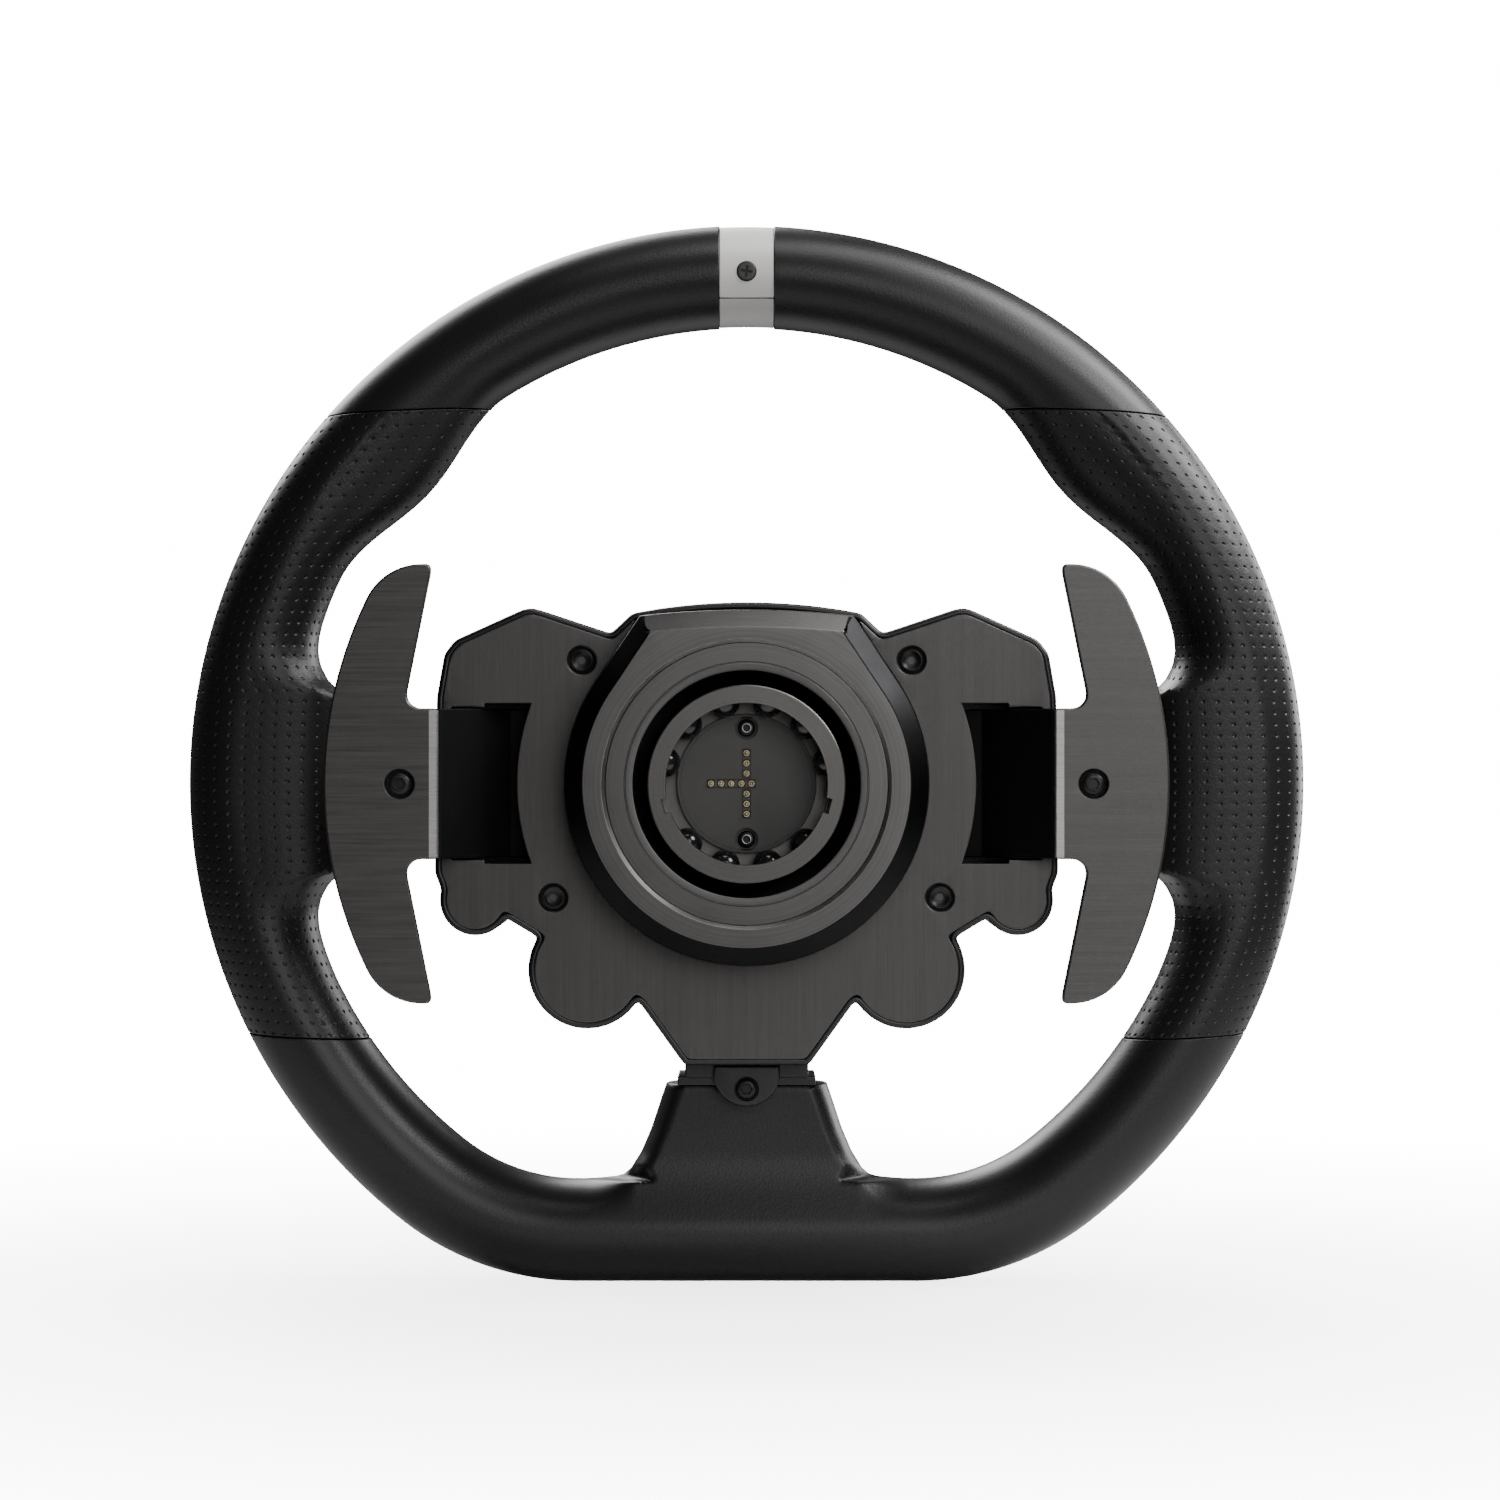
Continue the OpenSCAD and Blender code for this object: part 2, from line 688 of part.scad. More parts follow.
// A blade seen flat: a crescent with a stub towards the hub
module blade_flat() {
    tip = [82.2, 55];
    soften(2, 6) difference() {
        union() {
            intersection() {
                circle(paddle_reach, $fn = 180);
                polygon([[tip.x, paddle_h], [tip.x, tip.y], [89.6, 24], [89.6, -24], [tip.x, -tip.y],
                    [tip.x, -paddle_h], [130, -paddle_h], [130, paddle_h]]);
            }
            translate([stub_x, -19.7]) square([20, 39.4]);
        }
        both_ends() difference() {
            translate([tip_p.x, tip_p.y - 3]) square([40, 40]);
            hull() for (x = [60, tip_p.x]) translate([x, tip_p.y]) circle(tip_round);
        }
    }
}

module both_ends() {
    children();
    mirror([0, 1, 0]) children();
}

module paddle() color([0.33, 0.32, 0.31]) bench() difference() {
    slab(paddle_depth, paddle_depth + paddle_t) blade_flat();
    pin([paddle_screw_p, 0], 1.8, 0, big);
    pin([paddle_screw_p, 0], 3.6, 0, paddle_depth + 1.4);
}

module right_paddle() paddle();
module left_paddle() mirror([1, 0, 0]) paddle();

module carrier() color([0.03, 0.03, 0.03]) bench() difference() {
    top = paddle_depth + paddle_t + fit / 2;
    drop = foot_depth - top;
    k = arm_t * (sqrt(2) - 1);
    union() {
        translate([0, arm_half, 0]) rotate([90, 0, 0]) linear_extrude(2 * arm_half) polygon([
            [97, top], [stub_x - 0.4, top], [stub_x - 0.4 - drop, foot_depth], [54, foot_depth],
            [54, foot_depth + arm_t], [stub_x - 0.4 - drop + k, foot_depth + arm_t],
            [stub_x - 0.4 + k, top + arm_t], [97, top + arm_t]]);
        translate([0, barrel_half, 0]) rotate([90, 0, 0]) linear_extrude(2 * barrel_half) {
            translate([pivot_x, foot_depth]) square([12, arm_t]);
            translate([pivot_x, pivot_depth]) circle(barrel_r);
            translate([pivot_x, pivot_depth - barrel_r]) square([8, 5]);
        }
    }
    translate([pivot_x, 30, pivot_depth]) rotate([90, 0, 0]) cylinder(h = 60, r = pivot_r + fit);
    pin([paddle_screw_p, 0], 1.3, 0, big);
}

module right_paddle_carrier() carrier();
module left_paddle_carrier() mirror([1, 0, 0]) carrier();

module pivot_pin() color([0.7, 0.7, 0.7]) bench()
    translate([pivot_x, barrel_half + gap + 5, pivot_depth]) rotate([90, 0, 0])
    cylinder(h = 2 * (barrel_half + gap + 5), r = pivot_r);

module right_pivot_pin() pivot_pin();
module left_pivot_pin() mirror([1, 0, 0]) pivot_pin();

module paddle_screw() color([0.12, 0.12, 0.12]) bench() difference() {
    union() {
        pin([paddle_screw_p, 0], 2.8, paddle_depth + 0.2, paddle_depth + 1.4);
        pin([paddle_screw_p, 0], 1.25, paddle_depth + 1, paddle_depth + paddle_t + arm_t);
    }
    translate([paddle_screw_p, 0, paddle_depth]) cylinder(h = 0.9, r = 1.1, $fn = 6);
}

module right_paddle_screw() paddle_screw();
module left_paddle_screw() mirror([1, 0, 0]) paddle_screw();

// Magnets under the rear plate that pull each carrier's foot back
module paddle_magnets() color([0.7, 0.7, 0.72]) bench() both()
    pin([magnet_x, 0], 3.4, plate_depth + plate_t, foot_depth - gap);

// ---- Controls ----

module dial() color([0.08, 0.08, 0.08]) bench() {
    difference() {
        pin(lobe_p, dial_r, front_depth + gap, front_depth + dial_h);
        for (i = [0 : 17]) translate([lobe_p.x, lobe_p.y, front_depth]) rotate(20 * i)
            translate([dial_r + 0.5, 0, 1.5]) cylinder(h = dial_h, r = 1.1, $fn = 24);
        translate([lobe_p.x - 0.6, lobe_p.y + 4, front_depth + dial_h - 0.5]) cube([1.2, dial_r, 2]);
    }
    pin(lobe_p, shaft_r, skin_depth - 2, front_depth + 1);
}

module right_dial() dial();
module left_dial() mirror([1, 0, 0]) dial();

module dial_encoders() color([0.3, 0.3, 0.3]) bench() both() difference() {
    translate([lobe_p.x - 6, lobe_p.y - 6, board_depth + board_t])
        cube([12, 12, skin_depth - board_depth - board_t]);
    pin(lobe_p, shaft_r + fit, skin_depth - 2.3, big);
}

// A push button from its foot under the skin to its cap
module button(p, r) {
    pin(p, r, skin_depth - 0.5, front_depth + proud);
    pin(p, r + 1.2, skin_depth - gap - 1.6, skin_depth - gap);
}

module thumb_button() color([0.5, 0.5, 0.5]) bench() button(thumb_lobe_p, thumb_button_r);
module right_thumb_button() thumb_button();
module left_thumb_button() mirror([1, 0, 0]) thumb_button();

module ear_key() color([0.12, 0.12, 0.12]) bench() translate([ear_key_p.x, ear_key_p.y, 0]) {
    slab(skin_depth - 0.5, front_depth + proud) ear_key_flat();
    slab(skin_depth - gap - 1.6, skin_depth - gap) ear_key_flat(0.9);
}

module right_ear_key() ear_key();
module left_ear_key() mirror([1, 0, 0]) ear_key();

module action(d, c) color(c) bench() button(action_p + action_off * d, action_r);
module action_button_up() action([0, 1], [0.8, 0.7, 0.1]);
module action_button_right() action([1, 0], [0.7, 0.1, 0.1]);
module action_button_down() action([0, -1], [0.1, 0.5, 0.2]);
module action_button_left() action([-1, 0], [0.1, 0.2, 0.7]);
module home_button() color([0.6, 0.6, 0.6]) bench() button(home_p, home_r);

// Two ears that carry one shaft of the pad's cross, standing from depth a to the shaft
module gimbal_ears(a) for (s = [-1, 1]) translate([s * gimbal_ear, 0, 0]) rotate([90, 0, 90])
    translate([0, 0, -0.8]) linear_extrude(1.6) difference() {
        union() {
            translate([0, gimbal_depth]) circle(1.9);
            translate([-1.9, min(a, gimbal_depth)]) square([3.8, abs(gimbal_depth - a)]);
        }
        translate([0, gimbal_depth]) circle(gimbal_r + fit);
    }

// The cross under the direction pad
module dpad_pivot() color([0.3, 0.3, 0.3]) bench() translate([pad_p.x, pad_p.y, gimbal_depth]) {
    for (t = [0, 90]) rotate(t) translate([-5.4, 0, 0]) rotate([0, 90, 0])
        cylinder(h = 10.8, r = gimbal_r);
    cube([4.4, 4.4, 3], center = true);
}

module dpad_cap() color([0.1, 0.1, 0.1]) bench() {
    difference() {
        pin(pad_p, pad_r, pad_depth, pad_end - 1.2);
        pin(pad_p, 7.4, 0, pad_end - 1.7);
    }
    slab(pad_end - 1.7, pad_end) translate(pad_p) soften(1, 1) {
        square([2 * pad_r - 3, 6.6], center = true);
        square([6.6, 2 * pad_r - 3], center = true);
    }
    translate([pad_p.x, pad_p.y, 0]) rotate(90) gimbal_ears(pad_end - 1.6);
}

module switch_at(p) translate([p.x - 3, p.y - 3, board_depth + board_t]) cube([6, 6, switch_h]);

module switches() color([0.8, 0.8, 0.8]) bench() {
    for (d = [[0, 1], [1, 0], [0, -1], [-1, 0]]) {
        switch_at(action_p + action_off * d);
        switch_at(pad_p + action_off * d);
    }
    for (s = [-1, 1]) {
        switch_at([s * ear_key_p.x, ear_key_p.y]);
        switch_at([s * thumb_lobe_p.x, thumb_lobe_p.y]);
    }
    switch_at(home_p);
}

module main_board() color([0.05, 0.3, 0.15]) bench() difference() {
    slab(board_depth, board_depth + board_t) offset(delta = -wall - 0.6) hub_flat();
    both() for (p = plate_screw_p) pin(p, 4.4, 0, big);
}

module centre_cap() color([0.15, 0.15, 0.15]) bench() difference() {
    union() {
        translate([cap_p.x, cap_p.y, front_depth + 0.02]) cylinder(h = 3, r1 = cap_r, r2 = cap_r - 2);
    }
    translate([cap_p.x, cap_p.y, front_depth + 2]) cylinder(h = 2, r = cap_r - 5);
}

rim_core();
right_top_cover();
left_top_cover();
right_grip();
left_grip();
bottom_cover();
stripe_outer();
stripe_inner();
stripe_screw();
front_housing();
rear_plate();
plate_screws();
hub_frame();
lower_spoke();
lower_spoke_screw();
release_sleeve();
cam_ring();
qr_socket();
sleeve_spring();
locking_ball_1();
locking_ball_2();
locking_ball_3();
locking_ball_4();
locking_ball_5();
locking_ball_6();
locking_ball_7();
locking_ball_8();
locking_ball_9();
locking_ball_10();
connector_plug();
contact_pins();
connector_screws();
frame_bolts();
right_paddle();
left_paddle();
right_paddle_carrier();
left_paddle_carrier();
right_pivot_pin();
left_pivot_pin();
right_paddle_screw();
left_paddle_screw();
paddle_magnets();
right_dial();
left_dial();
dial_encoders();
right_thumb_button();
left_thumb_button();
right_ear_key();
left_ear_key();
action_button_up();
action_button_right();
action_button_down();
action_button_left();
home_button();
dpad_cap();
dpad_pivot();
main_board();
switches();
centre_cap();
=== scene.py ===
"""Racing wheel for a driving simulator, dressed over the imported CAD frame."""
import math

import bmesh
import bpy
import numpy as np
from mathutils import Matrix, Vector
from mathutils.geometry import delaunay_2d_cdt


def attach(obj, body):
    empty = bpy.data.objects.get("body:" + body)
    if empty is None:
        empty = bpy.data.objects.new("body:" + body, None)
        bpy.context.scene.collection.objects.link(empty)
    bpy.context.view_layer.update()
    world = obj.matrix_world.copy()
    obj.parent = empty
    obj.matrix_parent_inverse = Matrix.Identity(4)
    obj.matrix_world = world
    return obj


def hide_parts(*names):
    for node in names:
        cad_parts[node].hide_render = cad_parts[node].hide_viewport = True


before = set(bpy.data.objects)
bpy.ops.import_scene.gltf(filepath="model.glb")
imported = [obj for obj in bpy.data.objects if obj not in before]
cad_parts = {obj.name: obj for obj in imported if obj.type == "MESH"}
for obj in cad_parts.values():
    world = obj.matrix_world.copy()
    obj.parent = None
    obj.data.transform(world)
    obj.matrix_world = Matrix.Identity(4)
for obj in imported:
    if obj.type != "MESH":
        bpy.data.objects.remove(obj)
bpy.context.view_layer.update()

# Bench coordinates are millimetres: x to the driver's right, u up,
# d the depth from the socket's mouth towards the driver.
RIM_D = 52.0  # the rim's middle plane
RIM_C = 136.2  # radius of the tube's centreline
TUBE = 13.8  # half width of the tube
TUBE_D = 16.0  # half depth of the tube
FLAT_C = 120.4  # how far the flat bottom's centreline lies below the axis
CORNER_R = 63.0  # radius of the centreline's corner beside the flat
CX = math.sqrt((RIM_C - CORNER_R) ** 2 - (FLAT_C - CORNER_R) ** 2)
CU = -(FLAT_C - CORNER_R)
CA = math.degrees(math.atan2(CU, CX))  # angle at which the corner meets the round rim
PLATE_D = 24.0  # rear face of the brushed plate
FRONT_D = 66.0  # driver's face of the hub
SKIN_D = 63.6  # inner side of that face
KEY_FOOT, KEY_TOP = 63.2, 68.0  # depths between which the keys' caps stand
THUMB_KEY = (71.5, -30.7)  # the right one
DIAL = (42, -49.1)  # the right one
ACTION, ACTION_STEP = (61, 1), 9
PAD = (-61, 1)
HOME = (0, -57)


def row(x, u, d):
    """Bench millimetres to the frame's metres."""
    return (x * 0.001, -d * 0.001, u * 0.001)


# ---------------------------------------------------------------- materials

def new_mat(name, base, rough, metallic=0.0, coat=0.0, spec=0.5):
    m = bpy.data.materials.new(name)
    m.use_nodes = True
    n = m.node_tree.nodes
    b = n["Principled BSDF"]
    b.inputs["Base Color"].default_value = (*base, 1)
    b.inputs["Roughness"].default_value = rough
    b.inputs["Metallic"].default_value = metallic
    b.inputs["Coat Weight"].default_value = coat
    b.inputs["Coat Roughness"].default_value = 0.2
    b.inputs["Specular IOR Level"].default_value = spec
    return m


def node(m, kind, **kw):
    n = m.node_tree.nodes.new(kind)
    for k, v in kw.items():
        if k in n.inputs:
            n.inputs[k].default_value = v
        else:
            setattr(n, k, v)
    return n


def link(m, a, ao, b, bi):
    m.node_tree.links.new(a.outputs[ao], b.inputs[bi])


def coords(m, scale=(1, 1, 1)):
    tc = node(m, "ShaderNodeTexCoord")
    mp = node(m, "ShaderNodeMapping")
    mp.inputs["Scale"].default_value = scale
    link(m, tc, "Object", mp, "Vector")
    return mp


def noise(m, vec, scale, detail=4.0, rough=0.55):
    n = node(m, "ShaderNodeTexNoise")
    n.inputs["Scale"].default_value = scale
    n.inputs["Detail"].default_value = detail
    n.inputs["Roughness"].default_value = rough
    link(m, vec, "Vector", n, "Vector")
    return n


def ramp(m, src, *stops):
    """A colour ramp over a noise. Each of the two stops is a position and a colour."""
    r = node(m, "ShaderNodeValToRGB")
    for e, (at, colour) in zip(r.color_ramp.elements, stops):
        e.position, e.color = at, (*colour, 1)
    link(m, src, "Fac", r, "Fac")
    return r


def tinted(base, k):
    return tuple(x * k for x in base)


def map_range(m, src, out, a, b, lo=0.3, hi=0.7):
    r = node(m, "ShaderNodeMapRange")
    r.inputs["From Min"].default_value = lo
    r.inputs["From Max"].default_value = hi
    r.inputs["To Min"].default_value = a
    r.inputs["To Max"].default_value = b
    link(m, src, out, r, "Value")
    return r


def bump(m, src, out, strength, distance, normal=None):
    b = node(m, "ShaderNodeBump")
    b.inputs["Strength"].default_value = strength
    b.inputs["Distance"].default_value = distance
    link(m, src, out, b, "Height")
    if normal is not None:
        link(m, normal, "Normal", b, "Normal")
    return b


def bsdf(m):
    return m.node_tree.nodes["Principled BSDF"]


def gloss(m, src, rough, down=0.04, up=0.05):
    """Lets a noise move the roughness about its middle value."""
    link(m, map_range(m, src, "Fac", rough - down, rough + up), "Result", bsdf(m), "Roughness")


def leather(name, base, rough, grain=0.12, scale=900.0):
    """Soft wrap: a fine pebble grain, broad tonal drift and a worn sheen."""
    m = new_mat(name, base, rough, spec=0.4)
    v = coords(m)
    vor = node(m, "ShaderNodeTexVoronoi", feature="SMOOTH_F1")
    vor.inputs["Scale"].default_value = scale
    vor.inputs["Smoothness"].default_value = 0.6
    link(m, v, "Vector", vor, "Vector")
    fine = noise(m, v, scale * 1.6, 3.0)
    drift = noise(m, v, 22.0, 3.0)
    b1 = bump(m, vor, "Distance", grain, 0.0003)
    b2 = bump(m, fine, "Fac", grain * 0.6, 0.0002, b1)
    link(m, b2, "Normal", bsdf(m), "Normal")
    c = ramp(m, drift, (0.3, base), (0.7, tinted(base, 1.25)))
    link(m, c, "Color", bsdf(m), "Base Color")
    gloss(m, drift, rough)
    return m


def brushed(name, base, rough, grain, amount=0.35, bumpy=0.2):
    """Brushed metal. grain is a vector of scales, with the small one along the stroke."""
    m = new_mat(name, base, rough, metallic=1.0)
    streak = noise(m, coords(m, grain), 1.0, 6.0, 0.7)
    broad = noise(m, coords(m, tinted(grain, 0.23)), 1.0, 3.0, 0.6)
    c = ramp(m, streak, (0.32, tinted(base, 1 - amount)), (0.68, tinted(base, 1 + amount)))
    mix = node(m, "ShaderNodeMix", data_type="RGBA", blend_type="MULTIPLY")
    mix.inputs["Factor"].default_value = 0.35
    c2 = ramp(m, broad, (0.3, (0.72, 0.72, 0.72)), (0.7, (1, 1, 1)))
    link(m, c, "Color", mix, 6)
    link(m, c2, "Color", mix, 7)
    link(m, mix, 2, bsdf(m), "Base Color")
    gloss(m, streak, rough, 0.07, 0.1)
    b = bump(m, streak, "Fac", bumpy, 0.0001)
    link(m, b, "Normal", bsdf(m), "Normal")
    return m


def turned(name, base, rough):
    """Lathe-turned metal: fine rings about the steering axis."""
    m = new_mat(name, base, rough, metallic=1.0)
    tc = node(m, "ShaderNodeTexCoord")
    flat = node(m, "ShaderNodeVectorMath", operation="MULTIPLY")
    flat.inputs[1].default_value = (1, 0, 1)
    link(m, tc, "Object", flat, 0)
    ln = node(m, "ShaderNodeVectorMath", operation="LENGTH")
    link(m, flat, "Vector", ln, 0)
    xyz = node(m, "ShaderNodeSeparateXYZ")
    link(m, tc, "Object", xyz, "Vector")
    cmb = node(m, "ShaderNodeCombineXYZ")
    link(m, ln, "Value", cmb, "X")
    link(m, xyz, "Y", cmb, "Y")
    n = noise(m, cmb, 2600.0, 2.0, 0.6)
    c = ramp(m, n, (0.3, tinted(base, 1 - 0.12)), (0.7, tinted(base, 1 + 0.12)))
    link(m, c, "Color", bsdf(m), "Base Color")
    gloss(m, noise(m, coords(m), 60.0, 3.0), rough)
    b = bump(m, n, "Fac", 0.12, 0.00005)
    link(m, b, "Normal", bsdf(m), "Normal")
    return m


def moulded(name, base, rough, metallic=0.0, grain=0.06, scale=1400.0, coat=0.0, drift=0.2,
            spec=0.5):
    """Moulded plastic or paint: an eggshell texture with a little drift in colour and gloss."""
    m = new_mat(name, base, rough, metallic=metallic, coat=coat, spec=spec)
    v = coords(m)
    n = noise(m, v, scale, 3.0)
    d = noise(m, v, 35.0, 4.0)
    link(m, bump(m, n, "Fac", grain, 0.0002), "Normal", bsdf(m), "Normal")
    c = ramp(m, d, (0.3, tinted(base, 1 - drift)), (0.7, tinted(base, 1 + drift)))
    link(m, c, "Color", bsdf(m), "Base Color")
    gloss(m, d, rough)
    return m


M = {
    "wrap": leather("wrap_smooth", (0.0062, 0.006, 0.0058), 0.38, 0.08, 1500.0),
    "grip": leather("wrap_dimpled", (0.005, 0.0048, 0.0047), 0.38, 0.10, 1500.0),
    "shell": moulded("shell_black", (0.0035, 0.0035, 0.0038), 0.33, grain=0.05),
    "plate": brushed("plate_brushed", (0.088, 0.085, 0.083), 0.42, (3000, 3000, 45), 0.13, 0.12),
    "paddle": brushed("paddle_brushed", (0.098, 0.094, 0.091), 0.40, (45, 2600, 2600), 0.16, 0.14),
    # painted highlight: a bright copy of the blade's brushed metal for its inner edge
    "edge": brushed("blade_edge_painted_highlight", (0.44, 0.43, 0.415), 0.45, (60, 2200, 2200), 0.2),
    "sleeve": turned("sleeve_satin", (0.112, 0.109, 0.107), 0.36),
    "cam": turned("cam_steel", (0.108, 0.105, 0.103), 0.36),
    # painted shade: the sleeve's chamfer is a near-black copy of the sleeve steel
    "chamfer_painted_shade": turned("sleeve_chamfer_painted_shade", (0.012, 0.012, 0.0125), 0.36),
    # painted highlight: the sleeve's inner lip is a bright copy of the sleeve steel
    "glint": turned("sleeve_lip_painted_highlight", (0.36, 0.35, 0.34), 0.34),
    "socket": turned("socket_steel", (0.11, 0.105, 0.10), 0.34),
    # painted shade: near-black for the deep groove inside the cam ring
    "groove": moulded("groove_painted_shade", (0.004, 0.004, 0.004), 0.55),
    "ball": moulded("ball_steel", (0.02, 0.02, 0.02), 0.10, metallic=0.6, grain=0.0, coat=0.6),
    "plug": moulded("plug_matt", (0.070, 0.068, 0.066), 0.55, grain=0.12),
    "strip": moulded("strip_brown", (0.030, 0.018, 0.008), 0.45),
    "gold": moulded("contact_gold", (0.93, 0.80, 0.50), 0.25, metallic=1.0, grain=0.0, drift=0.08),
    "barrel": moulded("contact_ring", (0.90, 0.84, 0.66), 0.35, metallic=0.25, grain=0.0, drift=0.05),
    "screw": moulded("screw_black", (0.014, 0.014, 0.014), 0.34, metallic=0.5, grain=0.08),
    "screw_face": moulded("screw_face", (0.034, 0.034, 0.034), 0.38, metallic=0.3, grain=0.08),
    # painted shade: near-black for recesses, counterbores and grooves
    "dark": moulded("recess_painted_shade", (0.003, 0.003, 0.003), 0.6),
    "carrier": moulded("carrier_black", (0.002, 0.002, 0.002), 0.6, grain=0.1, spec=0.12),
    "stripe": moulded("stripe_grey", (0.66, 0.65, 0.63), 0.38, grain=0.05, drift=0.04),
    # painted shade: a darker copy of the stripe grey for the inner clip
    "stripe_low": moulded("stripe_shade", (0.52, 0.51, 0.49), 0.40, grain=0.05, drift=0.04),
    "alloy": moulded("alloy_dark", (0.05, 0.05, 0.052), 0.42, metallic=0.9, grain=0.1),
    "steel": moulded("steel_plain", (0.42, 0.42, 0.43), 0.3, metallic=1.0, grain=0.05),
    "face": moulded("face_black", (0.010, 0.010, 0.0105), 0.42, grain=0.12, scale=1100.0),
    "knob": moulded("knob_rubber", (0.016, 0.016, 0.0165), 0.52, grain=0.15),
    "cap": brushed("cap_brushed", (0.10, 0.10, 0.102), 0.36, (60, 2200, 2200), 0.3),
    "key_grey": moulded("key_grey", (0.16, 0.16, 0.165), 0.42, grain=0.08),
    "key_yellow": moulded("key_yellow", (0.55, 0.36, 0.03), 0.40, grain=0.08),
    "key_red": moulded("key_red", (0.38, 0.02, 0.02), 0.40, grain=0.08),
    "key_green": moulded("key_green", (0.03, 0.22, 0.05), 0.40, grain=0.08),
    "key_blue": moulded("key_blue", (0.02, 0.06, 0.30), 0.40, grain=0.08),
    "board": moulded("board_green", (0.012, 0.08, 0.03), 0.35, grain=0.05),
    "white": moulded("mark_white", (0.75, 0.75, 0.74), 0.5, drift=0.03),
}

# ---------------------------------------------------------------- mesh tools

def place_mesh(name, me, mats, body, replaces, sharp):
    """Gives a mesh its materials and sharp edges, and rides it on a body."""
    mats = mats if isinstance(mats, (list, tuple)) else [mats]
    for m in mats:
        me.materials.append(M[m])
    me.set_sharp_from_angle(angle=math.radians(sharp))
    o = bpy.data.objects.new(name, me)
    bpy.context.scene.collection.objects.link(o)
    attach(o, body)
    if replaces:
        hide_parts(*replaces)
    return o


FLAT = 100  # added to the material number of a face that is shaded flat


def keep_flats(o, weight):
    w = o.modifiers.new("weighted", "WEIGHTED_NORMAL")
    w.keep_sharp = True
    w.weight = weight


def finish_mesh(name, verts, faces, face_mats, mats, body, replaces, sharp, weighted):
    """Makes an object from bench-frame vertices and rides it on a body."""
    me = bpy.data.meshes.new(name)
    me.from_pydata([row(*v) for v in verts], [], faces)
    bm = bmesh.new()
    bm.from_mesh(me)
    lay = bm.faces.layers.int.new("m")
    bm.faces.ensure_lookup_table()
    for f, k in zip(bm.faces, face_mats):
        f[lay] = k
    bmesh.ops.remove_doubles(bm, verts=bm.verts, dist=2e-6)
    bmesh.ops.recalc_face_normals(bm, faces=bm.faces)
    lay = bm.faces.layers.int["m"]
    for f in bm.faces:
        f.material_index = f[lay] % FLAT
        f.smooth = f[lay] < FLAT
    bm.to_mesh(me)
    bm.free()
    o = place_mesh(name, me, mats, body, replaces, sharp)
    if weighted:
        keep_flats(o, 80)


def arc(c, r, a0, a1, n=24):
    t = [math.radians(a0 + (a1 - a0) * i / n) for i in range(n + 1)]
    return [(c[0] + r * math.cos(a), c[1] + r * math.sin(a)) for a in t]


def circle(c, r, n=64):
    return arc(c, r, 0, 360, n)[:-1]


def mirrored(half):
    """A closed outline from its right half, which runs clockwise from the top middle."""
    left = [(-x, y) for x, y in reversed(half) if abs(x) > 1e-6]
    return half + left


def resample(P, step):
    P = np.asarray(P, float)
    Q = np.vstack([P, P[:1]])
    seg = np.linalg.norm(np.diff(Q, axis=0), axis=1)
    s = np.concatenate([[0], np.cumsum(seg)])
    n = max(8, int(round(s[-1] / step)))
    t = np.linspace(0, s[-1], n, endpoint=False)
    return np.stack([np.interp(t, s, Q[:, k]) for k in (0, 1)], 1)


def smooth(P, step=0.5, sigma=0.9):
    """Rounds a closed outline's corners with a Gaussian of sigma millimetres."""
    Q = resample(P, step)
    n = len(Q)
    f = np.fft.rfftfreq(n, d=1.0 / n)
    L = n * step
    g = np.exp(-0.5 * (2 * np.pi * f / L * sigma) ** 2)
    return np.stack([np.fft.irfft(np.fft.rfft(Q[:, k]) * g, n) for k in (0, 1)], 1)


def area(P):
    P = np.asarray(P)
    x, y = P[:, 0], P[:, 1]
    return 0.5 * float(np.sum(x * np.roll(y, -1) - np.roll(x, -1) * y))


def ccw(P):
    P = np.asarray(P, float)
    return P if area(P) > 0 else P[::-1]


def cw(P):
    return ccw(P)[::-1]


def offset(P, t):
    """Moves a closed outline to its left by t, with mitred corners."""
    P = np.asarray(P, float)
    if abs(t) < 1e-9:
        return P
    e = np.roll(P, -1, 0) - P
    e /= np.maximum(np.linalg.norm(e, axis=1, keepdims=True), 1e-9)
    n = np.stack([-e[:, 1], e[:, 0]], 1)
    m = n + np.roll(n, 1, 0)
    d = np.maximum(np.einsum("ij,ij->i", m, m), 0.35)
    return P + m * (2 * t / d)[:, None]


def fillet(P, radii, seg=6):
    """Rounds the corners of a closed outline. radii is one number or one per corner."""
    P = [np.asarray(p, float) for p in P]
    n = len(P)
    if not hasattr(radii, "__len__"):
        radii = [radii] * n
    out = []
    for i in range(n):
        if radii[i] <= 0:
            out.append(tuple(P[i]))
            continue
        a, b, c = P[i - 1], P[i], P[(i + 1) % n]
        u, v = a - b, c - b
        lu, lv = np.linalg.norm(u), np.linalg.norm(v)
        u, v = u / lu, v / lv
        ang = math.acos(max(-1, min(1, float(u @ v))))
        if ang > math.pi - 0.02:
            out.append(tuple(b))
            continue
        t = min(radii[i] / math.tan(ang / 2), lu * 0.499, lv * 0.499)
        r = t * math.tan(ang / 2)
        mid = b + (u + v) / np.linalg.norm(u + v) * (r / math.sin(ang / 2))
        p0, p1 = b + u * t - mid, b + v * t - mid
        a0, a1 = math.atan2(p0[1], p0[0]), math.atan2(p1[1], p1[0])
        d = (a1 - a0 + math.pi) % (2 * math.pi) - math.pi
        for k in range(seg + 1):
            q = a0 + d * k / seg
            out.append((mid[0] + r * math.cos(q), mid[1] + r * math.sin(q)))
    return out


def inside(x, y, loop):
    x0, y0 = loop[:, 0], loop[:, 1]
    x1, y1 = np.roll(x0, -1), np.roll(y0, -1)
    cross = ((y0 > y) != (y1 > y)) & (x < (x1 - x0) * (y - y0) / (y1 - y0 + 1e-30) + x0)
    return bool(np.count_nonzero(cross) % 2)


